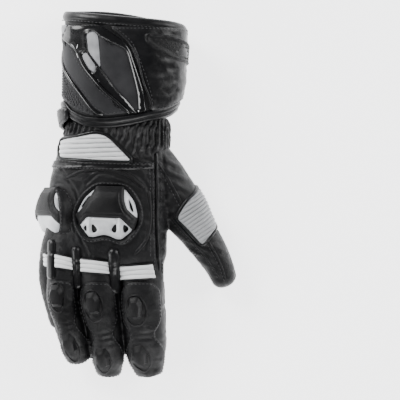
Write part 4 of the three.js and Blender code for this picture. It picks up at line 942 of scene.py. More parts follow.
def rings_body(rings, wrap_rows=False):
    """Closed rings of points joined in order: end to end, or back to the first."""
    rows, sides = rings.shape[:2]
    faces = []
    for r in range(rows if wrap_rows else rows - 1):
        q = (r + 1) % rows
        for s in range(sides):
            t = (s + 1) % sides
            faces.append((r * sides + s, r * sides + t, q * sides + t, q * sides + s))
    verts = rings.reshape(-1, 3)
    if not wrap_rows:
        verts = np.vstack([verts, rings[0].mean(0), rings[-1].mean(0)])
        for s in range(sides):
            t = (s + 1) % sides
            faces.append((rows * sides, t, s))
            faces.append((rows * sides + 1, (rows - 1) * sides + s, (rows - 1) * sides + t))
    return verts, faces


# Relief of the leather


def puff(base, rise, width):
    """A padded height that rises from the edge."""
    return lambda uv, edge: base + rise * (1 - np.exp(-edge / width))


def ribbed(base, rise, pitch, turn, centre=(0, 0), soft=1.2):
    """Padded ribs with stitched valleys between them."""
    normal = np.array([-math.sin(turn), math.cos(turn)])

    def height(uv, edge):
        phase = ((uv - centre) @ normal) / pitch
        part = np.abs(phase - np.round(phase)) * 2
        rib = np.clip(1 - part**2, 0, 1) ** 0.6
        return base + rise * rib * (1 - np.exp(-edge / soft))

    return height


def grain(points, size, seed=0.0, depth=3):
    """Soft uneven relief, from -1 to 1."""
    return np.array(
        [noise.fractal(Vector(p / size + seed), 1.0, 2.0, depth) for p in np.asarray(points, float)]
    )


# Materials


def linear(code):
    """A colour's sRGB hex value as linear light."""
    parts = [int(code[i : i + 2], 16) / 255 for i in (0, 2, 4)]
    return [c / 12.92 if c <= 0.04045 else ((c + 0.055) / 1.055) ** 2.4 for c in parts]


def node(tree, kind, inputs=None, **settings):
    """Adds a node with its settings, values and links."""
    made = tree.nodes.new(kind)
    for key, value in settings.items():
        setattr(made, key, value)
    for key, value in (inputs or {}).items():
        if isinstance(value, bpy.types.NodeSocket):
            tree.links.new(value, made.inputs[key])
        else:
            made.inputs[key].default_value = value
    return made


def shader(name):
    """A new material with its surface node and its object coordinates in metres."""
    made = bpy.data.materials.new(name)
    made.use_nodes = True
    tree = made.node_tree
    tree.nodes.clear()
    surface = node(tree, "ShaderNodeBsdfPrincipled")
    node(tree, "ShaderNodeOutputMaterial", {"Surface": surface.outputs[0]})
    where = node(tree, "ShaderNodeTexCoord").outputs["Object"]
    return made, tree, surface, where


def blend(tree, amount, low, high):
    """A colour between two, by a value from 0 to 1."""
    mix = node(tree, "ShaderNodeMix", data_type="RGBA")
    for key, value in ((6, low), (7, high)):
        mix.inputs[key].default_value = (*value, 1)
    tree.links.new(amount, mix.inputs[0])
    return mix.outputs[2]


def spread(tree, value, from_low, from_high, low, high):
    """A value taken from one range to another."""
    ends = {"Value": value, "From Min": from_low, "From Max": from_high, "To Min": low, "To Max": high}
    return node(tree, "ShaderNodeMapRange", ends).outputs[0]


def hide(name, dark, light, rough, cell, crease_depth, coat=0.0, wrinkle=0.5):
    """Drummed and dyed leather: pores and creases in the grain, a dull sheen and duller creases."""
    made, tree, surface, where = shader(name)
    pores = node(
        tree, "ShaderNodeTexVoronoi", {"Vector": where, "Scale": 1 / (cell * MM)},
        feature="DISTANCE_TO_EDGE",
    )
    crumple = node(
        tree, "ShaderNodeTexNoise",
        {"Vector": where, "Scale": 1 / (7 * MM), "Detail": 5, "Distortion": 0.8},
    )
    cloud = node(tree, "ShaderNodeTexNoise", {"Vector": where, "Scale": 1 / (38 * MM), "Detail": 3})
    shade = blend(tree, spread(tree, cloud.outputs[0], 0.3, 0.7, 0, 1), dark, light)
    tree.links.new(shade, surface.inputs["Base Color"])
    dull = spread(tree, crumple.outputs[0], 0.3, 0.7, rough - 0.07, rough + 0.1)
    tree.links.new(dull, surface.inputs["Roughness"])
    folds = node(
        tree, "ShaderNodeBump",
        {"Height": crumple.outputs[0], "Strength": wrinkle, "Distance": 0.8 * MM},
    )
    edge = spread(tree, pores.outputs[0], 0, 0.25, 0, 1)
    fine = node(
        tree,
        "ShaderNodeBump",
        {"Height": edge, "Normal": folds.outputs[0], "Strength": 0.5, "Distance": crease_depth * MM},
    )
    tree.links.new(fine.outputs[0], surface.inputs["Normal"])
    surface.inputs["Specular IOR Level"].default_value = 0.28
    surface.inputs["Coat Weight"].default_value = coat
    surface.inputs["Coat Roughness"].default_value = 0.3
    return made


def moulding(name, dark, light, rough, dust, bump, coat=0.0, size=0.9, shine=0.5):
    """Moulded plastic or rubber: a fine even texture, a little wear in its gloss."""
    made, tree, surface, where = shader(name)
    cloud = node(tree, "ShaderNodeTexNoise", {"Vector": where, "Scale": 1 / (16 * MM), "Detail": 4})
    speck = node(tree, "ShaderNodeTexNoise", {"Vector": where, "Scale": 1 / (size * MM), "Detail": 2})
    shade = blend(tree, spread(tree, cloud.outputs[0], 0.35, 0.7, 0, 1), dark, light)
    tree.links.new(shade, surface.inputs["Base Color"])
    tree.links.new(
        spread(tree, cloud.outputs[0], 0.3, 0.7, rough, rough + dust), surface.inputs["Roughness"],
    )
    relief = node(
        tree, "ShaderNodeBump", {"Height": speck.outputs[0], "Strength": bump, "Distance": 0.25 * MM}
    )
    tree.links.new(relief.outputs[0], surface.inputs["Normal"])
    surface.inputs["Specular IOR Level"].default_value = shine
    surface.inputs["Coat Weight"].default_value = coat
    surface.inputs["Coat Roughness"].default_value = 0.08
    return made


def weave(name, dark, light, rough, pitch, bump, sheen=0.3):
    """Woven or knitted cloth: threads that cross, a soft sheen, a little unevenness."""
    made, tree, surface, where = shader(name)
    scale = 1 / (pitch * MM)
    waves = [
        node(
            tree,
            "ShaderNodeTexWave",
            {"Vector": where, "Scale": scale / (2 * math.pi) * 2, "Distortion": 0.6, "Detail": 1},
            wave_type="BANDS",
            bands_direction=way,
        )
        for way in ("X", "Y")
    ]
    both = node(tree, "ShaderNodeMath", operation="MULTIPLY")
    tree.links.new(waves[0].outputs["Fac"], both.inputs[0])
    tree.links.new(waves[1].outputs["Fac"], both.inputs[1])
    cloud = node(tree, "ShaderNodeTexNoise", {"Vector": where, "Scale": 1 / (9 * MM), "Detail": 4})
    tone = node(tree, "ShaderNodeMath", operation="ADD", inputs={0: both.outputs[0], 1: cloud.outputs[0]})
    shade = blend(tree, spread(tree, tone.outputs[0], 0.3, 1.2, 0, 1), dark, light)
    tree.links.new(shade, surface.inputs["Base Color"])
    tree.links.new(
        spread(tree, cloud.outputs[0], 0.3, 0.7, rough - 0.05, rough + 0.1),
        surface.inputs["Roughness"],
    )
    relief = node(
        tree, "ShaderNodeBump", {"Height": both.outputs[0], "Strength": bump, "Distance": 0.25 * MM},
    )
    tree.links.new(relief.outputs[0], surface.inputs["Normal"])
    surface.inputs["Sheen Weight"].default_value = sheen
    surface.inputs["Sheen Roughness"].default_value = 0.4
    return made


def light_table(name, tone):
    """A light table's opal acrylic sheet: lit from below, matte and very slightly uneven."""
    made, tree, surface, where = shader(name)
    cloud = node(tree, "ShaderNodeTexNoise", {"Vector": where, "Scale": 3, "Detail": 2})
    soft = [c * 0.985 for c in tone]
    tree.links.new(blend(tree, cloud.outputs[0], soft, tone), surface.inputs["Base Color"])
    surface.inputs["Roughness"].default_value = 0.85
    surface.inputs["Emission Color"].default_value = (*tone, 1)
    surface.inputs["Emission Strength"].default_value = 3
    return made


def material(name):
    """The finish of that name, made once."""
    found = bpy.data.materials.get(name)
    return found or FINISHES[name](name)


def palette():
    """The colour settings."""
    return bpy.context.scene.gauntlet_colours


# Each finish is named for the real material, save the near-black painted shade of holes and slots.
# Patterns finer than about 0.8 mm would not show in the render, so pores, weave and specks are drawn
# at the sizes given in each call.
FINISHES = {
    # Drummed cowhide: soft creases and open pores, so highlights are broad and broken up
    "drummed_leather": lambda n: hide(n, palette().leather_dark, palette().leather_light, 0.46, 1.2, 0.16),
    # Smooth corrected cowhide under a thin wax: narrower highlights along rolls and welts
    "smooth_leather": lambda n: hide(
        n, palette().leather_dark, palette().leather_light, 0.36, 1.6, 0.1, coat=0.15, wrinkle=0.35
    ),
    # Polished polyurethane film: near black, with sharp window reflections
    "gloss_film": lambda n: moulding(n, linear("060607"), linear("0c0c0e"), 0.2, 0.12, 0.12, coat=0.4),
    # Rubber-coated cloth: an even dull charcoal with a fine speckle
    "coated_charcoal": lambda n: moulding(
        n, linear("202022"), linear("2b2b2d"), 0.5, 0.15, 0.5, size=0.8, shine=0.3
    ),
    # Glass-bead reflective film: mid grey and a little grainy
    "reflective_film": lambda n: moulding(n, linear("7c7d80"), linear("a9aaad"), 0.35, 0.2, 0.5, size=0.7),
    # White and grey accordion leather over foam: the same hide, undyed and faintly pored
    "pleated_white": lambda n: hide(n, linear("d2d3d4"), linear("eceded"), 0.5, 1.5, 0.08, wrinkle=0.3),
    "pleated_grey": lambda n: hide(n, linear("8a8b8d"), linear("a2a3a5"), 0.5, 1.4, 0.08, wrinkle=0.3),
    # Thermoplastic moulding sprayed silver grey under clear lacquer: smooth, with a soft gleam
    "silver_enamel": lambda n: moulding(
        n, palette().guard_dark, palette().guard_light, 0.3, 0.12, 0.12, coat=0.3
    ),
    # Spark-eroded black thermoplastic: matte, so it mirrors little of the lit table
    "moulded_black": lambda n: moulding(
        n, linear("0d0d0e"), linear("161617"), 0.42, 0.14, 0.8, size=1.0, shine=0.2
    ),
    # Painted shade: near black, darker than the leather, for the shade inside holes and under slots
    "slot_black": lambda n: moulding(n, linear("050506"), linear("0a0a0b"), 0.7, 0.1, 0.2),
    # White vinyl piping: bright with a clear coat
    "white_bead": lambda n: moulding(n, linear("dcdddf"), linear("f0f0f1"), 0.2, 0.1, 0.05, coat=0.4),
    # Knitted polyester spacer mesh, its thread pitch drawn at 1.6 mm so that it shows
    "spacer_mesh": lambda n: weave(n, linear("0d0d0f"), linear("242427"), 0.7, 1.6, 0.9, sheen=0.15),
    # Brushed polyester lining: dull with a soft sheen at its edges
    "lining_cloth": lambda n: weave(n, linear("121214"), linear("202023"), 0.8, 0.9, 0.5, sheen=0.4),
    # Waxed polyester thread, a shade lighter than the leather so that the rows of stitches show
    "waxed_thread": lambda n: weave(n, linear("161618"), linear("2a2a2d"), 0.5, 0.4, 0.4, sheen=0.2),
    # Opal acrylic sheet lit from below: the white ground of the photograph
    "opal_board": lambda n: light_table(n, linear("f4f4f5")),
}


def tone(name, description, code):
    """A colour setting, from its sRGB hex value."""
    return bpy.props.FloatVectorProperty(
        name=name, description=description, default=linear(code), subtype="COLOR", min=0, max=1
    )


def length(name, description, default, low, high):
    """A length setting in metres."""
    return bpy.props.FloatProperty(
        name=name, description=description, default=default, unit="LENGTH", min=low, max=high
    )


class GauntletColours(bpy.types.PropertyGroup):
    """Colours of the gauntlet's main materials"""

    leather_dark: tone("Leather, Dark", "Colour of the leather where it is darkest", "060607")
    leather_light: tone("Leather, Light", "Colour of the leather where it is lightest", "0e0e10")
    guard_dark: tone("Guard, Dark", "Darker tone of the painted guards", "b4b6b9")
    guard_light: tone("Guard, Light", "Lighter tone of the painted guards", "d6d8da")


class GauntletSizes(bpy.types.PropertyGroup):
    """Sizes of the gauntlet's fine details"""

    voxel: bpy.props.FloatProperty(
        name="Skin Detail",
        description="Edge length of the skin's mesh, in millimetres",
        default=1.05,
        min=0.6,
        max=3,
    )
    stitch_pitch: length("Stitch Pitch", "Distance from one stitch to the next", 0.0032, 0.001, 0.01)
    stitch_length: length("Stitch Length", "Length of one stitch", 0.0023, 0.0005, 0.01)
    stitch_width: length("Stitch Width", "Thickness of the thread as it lies", 0.00075, 0.0002, 0.005)
    back_ribs: bpy.props.IntProperty(
        name="Back Ribs",
        description="How many padded ribs the white panel on the back has",
        default=6,
        min=3,
        max=12,
    )


def sizes():
    """The size settings."""
    return bpy.context.scene.gauntlet_sizes


made = {}


class GAUNTLET_OT_skin(bpy.types.Operator):
    """Joins the palm, the fingers and the thumb into one leather skin with its creases"""

    bl_idname = "gauntlet.skin"
    bl_label = "Leather Skin"

    def execute(self, context):
        points, faces = remeshed("outer", 0.0, sizes().voxel)
        points = relaxed(points, faces, 8)
        normals = vertex_normals(points, faces)
        points = points + normals * skin_relief(points, normals)[:, None]
        made["skin"] = BVHTree.FromPolygons(points.tolist(), faces.tolist())
        made["back"] = Relief(made["skin"], 1, 3)
        made["back_soft"] = Relief(made["skin"], 1, 14)
        made["palm"] = Relief(made["skin"], -1, 4)
        inner, inner_faces = remeshed("inner", -WALL, 2.4)
        hollow(points, faces, inner, inner_faces)
        return {"FINISHED"}


def forms_mesh(grow, start):
    """The palm, the fingers and the thumb as closed bodies, grown all round."""
    parts = []
    turn = np.linspace(0, 2 * math.pi, 96, endpoint=False)
    ys = np.linspace(hand.ys[0], start, 150)
    parts.append(rings_body(hand.at(turn[None], ys[:, None], grow)))
    for limb in [*limbs.values(), thumb]:
        v = np.append(
            np.linspace(limb.along[0], limb.along[-1], 70),
            limb.along[-1] + np.sin(np.linspace(0.12, math.pi / 2, 10)) * limb.tip / limb.length,
        )
        parts.append(rings_body(limb.at(turn[None], v[:, None], grow)))
    return parts


def remeshed(name, grow, size):
    """The forms joined into one even mesh."""
    end = HEM_Y + 18 if grow == 0 else HEM_Y + 26
    mesh = bpy.data.meshes.new(name)
    points, faces, start = [], [], 0
    for v, f in forms_mesh(grow, end):
        points.append(v)
        if signed_volume(v - v.mean(0), f) < 0:
            f = [face[::-1] for face in f]
        faces += [[i + start for i in face] for face in f]
        start += len(v)
    mesh.from_pydata(np.vstack(points).tolist(), [], faces)
    body = bpy.data.objects.new(name, mesh)
    bpy.context.scene.collection.objects.link(body)
    fuse = body.modifiers.new("Fuse", "REMESH")
    fuse.mode = "VOXEL"
    fuse.voxel_size = size
    result = evaluated_mesh(body)
    bpy.data.objects.remove(body)
    count = len(result.vertices)
    co = np.empty(count * 3, np.float32)
    result.vertices.foreach_get("co", co)
    faces = np.empty(len(result.polygons) * 4, np.int32)
    result.polygons.foreach_get("vertices", faces)
    return co.reshape(-1, 3).astype(float), faces.reshape(-1, 4)


def evaluated_mesh(body):
    """The mesh that the modifiers give."""
    bpy.context.view_layer.update()
    found = body.evaluated_get(bpy.context.evaluated_depsgraph_get())
    return bpy.data.meshes.new_from_object(found)


def relaxed(points, faces, rounds, share=0.5):
    """Points drawn towards their neighbours, which takes out the steps of the voxels."""
    pairs = np.vstack([faces[:, [k, (k + 1) % 4]] for k in range(4)])
    count = np.bincount(pairs[:, 0], minlength=len(points))[:, None]
    for _ in range(rounds):
        total = np.zeros_like(points)
        np.add.at(total, pairs[:, 0], points[pairs[:, 1]])
        points = points + share * (total / count - points)
    return points


def vertex_normals(points, faces):
    """Outward normals at the points of a mesh of four-sided faces."""
    a, b, c, d = (points[faces[:, k]] for k in range(4))
    face = np.cross(c - a, d - b)
    out = np.zeros_like(points)
    for k in range(4):
        np.add.at(out, faces[:, k], face)
    return out / np.maximum(np.linalg.norm(out, axis=1, keepdims=True), 1e-12)


# Seams pressed into the skin, in plan, in shares of the palm's width and length: the points of
# each, its half width and its depth in millimetres
BACK_SEAMS = [
    ([(-0.56, 0.236), (-0.12, 0.222), (0.3, 0.228)], 0.8, 0.5),
    ([(0.285, 0.33), (0.287, 0.1), (0.29, -0.1), (0.3, -0.38)], 1.0, 0.7),
    ([(0.34, 0.3), (0.36, 0.18), (0.365, 0.02)], 1.2, 0.5),
    ([(-0.46, 0.2), (-0.33, 0.02), (-0.33, -0.18), (-0.25, -0.36)], 1.0, 0.6),
    ([(-0.26, 0.11), (-0.13, 0.175), (0.12, 0.11)], 0.9, 0.5),
    ([(-0.24, 0.185), (0, 0.2), (0.2, 0.12), (0.26, -0.1), (0.2, -0.32)], 1.1, 0.45),
]
PALM_SEAMS = [
    ([(0.3, 0.34), (0.16, 0.3), (-0.1, 0.28), (-0.13, 0.17), (0.02, 0.03), (0.25, -0.09)], 1.0, 0.8),
    ([(-0.2, 0.3), (-0.22, 0.19), (-0.43, 0.09), (-0.55, 0.0)], 1.0, 0.8),
    ([(-0.12, 0.2), (-0.16, 0.02), (-0.3, -0.16)], 1.4, 0.7),
    ([(0.05, 0.02), (-0.02, -0.12), (-0.05, -0.22)], 1.6, 0.6),
]


def skin_relief(points, normals):
    """How far each point of the skin stands out: seams, folds over the joints and soft crumples."""
    up = step_up(0.05, 0.45, normals[:, 2])
    down = step_up(0.05, 0.45, -normals[:, 2])
    relief = np.zeros(len(points))
    plan = points[:, :2]
    for seams, side in ((BACK_SEAMS, up), (PALM_SEAMS, down)):
        for line, width, depth in seams:
            gap = line_distance(plan, curved(on_hand(line), 2.0))
            relief -= side * depth * np.exp(-((gap / width) ** 2))
            relief += side * depth * 0.45 * np.exp(-(((gap - width * 2.2) / (width * 1.2)) ** 2))
    soft = grain(points, 21.0)
    fine = grain(points, 8.5, 7.0)
    relief += 0.55 * soft + 0.3 * (0.5 - np.abs(fine)) * 1.4
    # Folds where the thumb and the wrist bend
    for centre, way, pitch, reach, rise in FOLDS:
        centre, way = np.array(centre), np.array(way) / np.linalg.norm(way)
        away = plan - centre
        wave = np.sin(2 * math.pi * (away @ way) / pitch + 2.2 * grain(points, 26.0, 3.0, 2))
        relief += rise * np.maximum(wave, -0.55) * np.exp(
            -((away / reach) ** 2).sum(1),
        ) * np.maximum(up, 0.35)
    for limb, places in JOINT_FOLDS:
        axis = limb.centre(np.array(places))
        ahead, _, _ = limb.frame(np.array(places))
        for c, a in zip(axis, ahead):
            gap = (points - c) @ a
            near = np.linalg.norm((points - c) - gap[:, None] * a, axis=1) < 26
            wave = -0.7 * np.exp(-((gap / 1.4) ** 2)) + 0.35 * np.exp(-(((np.abs(gap) - 3.2) / 1.6) ** 2))
            relief += wave * near * np.maximum(down, 0.25)
    return relief


# Folds in plan: centre, the way across them, pitch, reach each way, and rise in millimetres
FOLDS = [
    ((42, 22), (0.35, 1), 8.5, (17, 22), 0.7),
    ((37, -18), (0.2, 1), 9, (10, 24), 0.6),
    ((66, -40), (0.5, 1), 6.5, (16, 16), 0.5),
    ((-48, 24), (0.25, 1), 8, (12, 14), 0.7),
    ((-52, 50), (1, 0.35), 6, (14, 14), 0.5),
    ((24, 36), (0.7, 1), 7.5, (18, 12), 0.6),
]
JOINT_FOLDS = [
    (limbs["index"], (0.02, 0.34, 0.62)), (limbs["middle"], (0.02, 0.34, 0.62)),
    (limbs["ring"], (0.02, 0.32, 0.56)), (limbs["little"], (0.02, 0.26)), (thumb, (0.42, 0.66)),
]


def hollow(points, faces, inner, inner_faces):
    """The skin with its inside cut out, so the glove is open from the wrist to the fingertips."""
    bodies = []
    for name, v, f in (("leather_skin", points, faces), ("bore", inner, inner_faces)):
        mesh = bpy.data.meshes.new(name)
        low = np.array(v)
        low[:, 2] = np.maximum(low[:, 2], 0.02 if name == "leather_skin" else WALL)
        mesh.from_pydata(((low - ORIGIN) * MM).tolist(), [], f.tolist())
        body = bpy.data.objects.new(name, mesh)
        bpy.context.scene.collection.objects.link(body)
        bodies.append(body)
    skin, bore = bodies
    skin.data.materials.append(material("drummed_leather"))
    bore.data.materials.append(material("lining_cloth"))
    cut = skin.modifiers.new("Hollow", "BOOLEAN")
    cut.operation, cut.solver, cut.object = "DIFFERENCE", "FAST", bore
    result = evaluated_mesh(skin)
    skin.modifiers.remove(cut)
    skin.data = result
    bpy.data.objects.remove(bore)
    result.polygons.foreach_set("use_smooth", np.full(len(result.polygons), True))
    nodes = ["hand_shell", "thumb_stall", *(name + "_stall" for name in FINGERS)]
    claim(skin, nodes, "leather_black")


def hand_wrap(grow=0.0):
    """The skin of the hand, unrolled."""
    return Wrap(hand, WRAP_RADIUS, tree=made["skin"], grow=grow)


def cuff_wrap(grow=0.0):
    """The outside of the cuff, unrolled."""
    return Wrap(cuff, WRAP_RADIUS, grow=grow)


class GAUNTLET_OT_cuff(bpy.types.Operator):
    """Makes the open cuff, the roll round its mouth and the ridged band at its hem"""

    bl_idname = "gauntlet.cuff"
    bl_label = "Cuff"

    def execute(self, context):
        turn = np.linspace(0, 2 * math.pi, 200, endpoint=False)
        v = np.linspace(0, 1, 60)
        outer = cuff_grid(turn, v, 0.0)
        inner = cuff_grid(turn, v[::-1], -WALL)
        verts, faces = rings_body(np.vstack([outer, inner]), wrap_rows=True)
        paint = np.zeros(len(faces), int)
        paint[60 * 200 :] = 1
        add_piece(
            "cuff_leather", verts, faces, ["drummed_leather", "lining_cloth"], ["cuff_shell"],
            "leather_black", paint=paint,
        )
        self.rim(turn)
        self.hem(turn)
        return {"FINISHED"}

    def rim(self, turn):
        """The padded roll round the cuff's mouth."""
        edge = cuff_grid(turn, np.array([1.0]), 0.0)[0]
        inner = cuff_grid(turn, np.array([1.0]), -WALL)[0]
        middle = (edge + inner) / 2
        out = edge - inner
        out[:, 1] = 0
        out /= np.linalg.norm(out, axis=1, keepdims=True)
        crumple = 0.35 * grain(middle, 11.0, 2.0)[:, None]
        rings = []
        for phi in np.linspace(0, 2 * math.pi, 22, endpoint=False):
            across, along = math.cos(phi), math.sin(phi)
            thick = WALL / 2 + 1.9 - 0.5 * max(along, 0)
            ring = middle + out * (across * thick + crumple * across)
            ring[:, 1] += RIM - 4.4 + along * 4.6
            # A stitched groove runs round the roll near its lower edge
            ring -= out * 0.55 * np.sign(across) * math.exp(-(((along + 0.62) / 0.16) ** 2))
            rings.append(ring)
        verts, faces = rings_body(np.array(rings), wrap_rows=True)
        add_piece("mouth_roll", verts, faces, "smooth_leather", ["cuff_rim"], "leather_black", crease=70)
        line = edge + out * 2.2
        line[:, 1] += RIM - 7.4
        made.setdefault("stitches", []).append((np.vstack([line, line[:1]]), np.vstack([out, out[:1]])))

    def hem(self, turn):
        """The doubled band round the cuff's hem."""
        rings = []
        surface = cuff_grid(turn, np.array([0.0]), 0.0)[0]
        for w in np.linspace(-2.8, 5.6, 25):
            y = surface[:, 1] + w
            shape = 0.5 + 1.5 * math.sqrt(max(1 - ((w - 3.1) / 2.6) ** 2, 0)) + 1.3 * math.sqrt(
                max(1 - ((w + 0.9) / 1.9) ** 2, 0)
            )
            rings.append(cuff.at(turn, y, shape))
        for w in np.linspace(5.6, -2.8, 9):
            rings.append(cuff.at(turn, surface[:, 1] + w, -1.2))
        verts, faces = rings_body(np.array(rings), wrap_rows=True)
        add_piece("hem_band", verts, faces, "smooth_leather", ["cuff_hem"], "leather_black", crease=70)


def cuff_grid(turn, v, grow):
    """Rings from the hem to the mouth, level with both."""
    y = np.full(len(turn), HEM_Y + 0.5 * CUFF_LENGTH)
    rings = []
    for share in v:
        for _ in range(3):
            p = cuff.at(turn, y, 0.0)
            low, high = hem_at(p[:, 0]), mouth_at(p[:, 0], p[:, 2])
            y = low + (high - low) * share
        rings.append(cuff.at(turn, y, grow))
    return np.array(rings)


class GAUNTLET_OT_cuff_armour(bpy.types.Operator):
    """Lays the glossy frame, its plate and windows, the stripe, the piping and the mesh on the cuff"""

    bl_idname = "gauntlet.cuff_armour"
    bl_label = "Cuff Armour"

    def execute(self, context):
        face = cuff_wrap()

        def frame_height(uv, edge):
            bead = 0.5 * np.exp(-(((edge - 1.2) / 0.7) ** 2))
            dip = 0.35 * step_up(2.2, 3.4, edge)
            return 1.5 + 0.9 * (1 - np.exp(-edge / 0.8)) + bead - dip

        panel(
            "gloss_frame", cuff_back(FRAME), face, frame_height, "gloss_film",
            holes=[cuff_back(PLATE_HOLE), cuff_back(LOWER_WINDOW)], radius=2.5, step=1.2,
            nodes=["cuff_frame"], slot="gloss_black",
        )
        panel(
            "charcoal_plate", cuff_back(PLATE), face, puff(0.7, 0.9, 2.5), "coated_charcoal",
            radius=1.2, nodes=["cuff_plate"], slot="charcoal",
        )
        for name, outline in (("upper", UPPER_WINDOW), ("lower", LOWER_WINDOW)):
            panel(
                name + "_window", cuff_back(outline), face, puff(0.8, 0.6, 1.2), "reflective_film",
                radius=1, nodes=["cuff_window_" + name], slot="reflective_grey",
            )
        rods("window_line", [on_line(face, cuff_back(WINDOW_LINE))], 0.5, 0.6, "white_bead", lift=1.9)
        panel(
            "stripe_panel", cuff_back(STRIPE), face, puff(1.0, 0.9, 1.6), "coated_charcoal", radius=2,
            stitch=1.6, nodes=["cuff_stripe"], slot="charcoal",
        )
        for name, line in (("upper", UPPER_PIPING), ("lower", LOWER_PIPING)):
            rods(
                name + "_piping", [on_line(face, cuff_back(line))], 1.5, 1.7, "gloss_film", lift=1.2,
                nodes=["cuff_piping_" + name], slot="gloss_black",
            )
        panel(
            "corner_patch", cuff_back(CORNER_PATCH), face, puff(2.5, 0.5, 1.0), "reflective_film",
            radius=1.5,
        )
        panel(
            "corner_wedge", cuff_back(CORNER_WEDGE), face, puff(2.3, 0.5, 1.0), "coated_charcoal",
            radius=1.0,
        )
        mesh = np.vstack([cuff_back(MESH_BACK), cuff_palm(MESH_PALM)])
        panel(
            "side_mesh", mesh, face, puff(0.6, 0.7, 1.5), "spacer_mesh", radius=2, stitch=1.8,
            nodes=["cuff_mesh"], slot="mesh_black",
        )
        made["cells"] = dots(face, mesh, 2.6, 1.35, inset=2.6)
        panel(
            "palm_plate", cuff_palm(PALM_PLATE), face, puff(0.9, 0.9, 1.6), "coated_charcoal", radius=2,
            stitch=1.6, nodes=["cuff_palm_plate"], slot="charcoal",
        )
        ribs = cuff_palm(PALM_RIBS)
        panel(
            "palm_ribs", ribs, face, ribbed(0.9, 1.9, 4.4, math.radians(46), ribs.mean(0)),
            "smooth_leather", radius=2, step=1.0, nodes=["cuff_palm_ribs"], slot="leather_black",
        )
        specks = [dots(face, cuff_back(patch), 1.5, 2.15, inset=0.5) for patch in SPECKLED]
        made["studs"] = tuple(np.vstack(part) for part in zip(*specks))
        return {"FINISHED"}


def cuff_back(points, edge=0.35):
    """An outline on the cuff's back, unrolled."""
    return cuff.wrap(on_cuff(points), edge=edge)


def cuff_palm(points):
    """An outline on the cuff's palm side, unrolled."""
    return cuff.wrap(on_cuff(points), "palm", SECTION_MIDDLE)


class GAUNTLET_OT_flap(bpy.types.Operator):
    """Wraps the closure flap over the thumb's side of the cuff, with its vented patch"""

    bl_idname = "gauntlet.flap"
    bl_label = "Closure Flap"

    def execute(self, context):
        face = cuff_wrap()
        back = cuff.wrap(on_cuff(FLAP_BACK), edge=SECTION_MIDDLE)
        palm = cuff.wrap(on_cuff(FLAP_PALM), "under", SECTION_MIDDLE)
        outline = np.vstack([back, palm])

        def height(uv, edge):
            p, _ = face.at(uv)
            swell = 1.1 * grain(p * [0.6, 1.3, 1], 17.0, 5.0) + 0.35 * grain(p, 6.0, 2.0)
            return 1.2 + 1.3 * (1 - np.exp(-edge / 1.4)) + swell * step_up(0, 6, edge)

        flap = panel(
            "closure_flap_leather", outline, face, height, "smooth_leather", radius=5, step=1.6,
            stitch=2.2, nodes=["closure_flap"], slot="leather_black",
        )
        laid_out(flap, outline, face)
        patch = cuff_back(FLAP_PATCH)

        def raised(uv, edge):
            bead = 0.8 * np.exp(-(((edge - 1.5) / 0.9) ** 2))
            return 2.6 + 0.9 * (1 - np.exp(-edge / 0.8)) + bead - 0.5 * step_up(2.4, 3.4, edge)

        panel(
            "vented_patch", patch, face, raised, "moulded_black", radius=4, step=1.2, sink=-1.4,
            nodes=["flap_patch"], slot="mesh_black",
        )
        made["vents"] = dots(face, patch, 3.3, 3.05, inset=3.6, radius=4)
        ridge = cuff_back(FLAP_RIDGE)
        rods("flap_ridge", [on_line(face, ridge)], 0.9, 0.8, "smooth_leather", lift=2.1)
        return {"FINISHED"}


class GAUNTLET_OT_wrist(bpy.types.Operator):
    """Gathers the wrist in elastic folds and straps it on the palm's side"""

    bl_idname = "gauntlet.wrist"
    bl_label = "Wrist"

    def execute(self, context):
        wrist = hand_wrap()
        outline = hand.wrap(on_hand(GATHER), edge=0.31)

        def folds(uv, edge):
            p, _ = wrist.at(uv)
            drift = 3.2 * grain(p, 15.0, 1.0, 2)
            phase = (uv[:, 0] + drift + 0.12 * uv[:, 1]) / 5.4
            wave = 1 - np.abs(np.sin(math.pi * phase)) ** 1.3
            lean = 0.82 + 0.18 * np.sin(uv[:, 1] * 0.4 + 3 * drift)
            return 0.7 + 2.3 * (1 - wave) * lean * (1 - np.exp(-edge / 2.0)) + 0.3 * grain(p, 5.0, 9.0)

        panel(
            "wrist_folds", outline, wrist, folds, "drummed_leather", radius=3, step=1.15, sink=1.2,
            nodes=["wrist_gather"], slot="leather_black",
        )
        over = cuff_wrap(2.6)
        palm = cuff.wrap(on_hand(STRAP_PALM), "palm", SECTION_MIDDLE)
        back = cuff.wrap(on_hand(STRAP_BACK), edge=SECTION_MIDDLE)
        strap = np.vstack([palm, back])
        thick = lambda uv, edge: 0.7 + 2.0 * (1 - np.exp(-edge / 1.6))
        band = panel(
            "strap_leather", strap, over, thick, "smooth_leather", radius=5, step=1.5, sink=0.9,
            stitch=2.0, nodes=["wrist_strap"], slot="leather_black",
        )
        laid_out(band, strap, over)
        tab = cuff.wrap(on_hand(STRAP_TAB), "under", SECTION_MIDDLE)
        panel(
            "hook_tab", tab, over, puff(0.0, 1.2, 1.0), "lining_cloth", radius=1.5, step=1.3, sink=1.4,
            stitch=1.4, nodes=["strap_tab"], slot="mesh_black",
        )
        return {"FINISHED"}


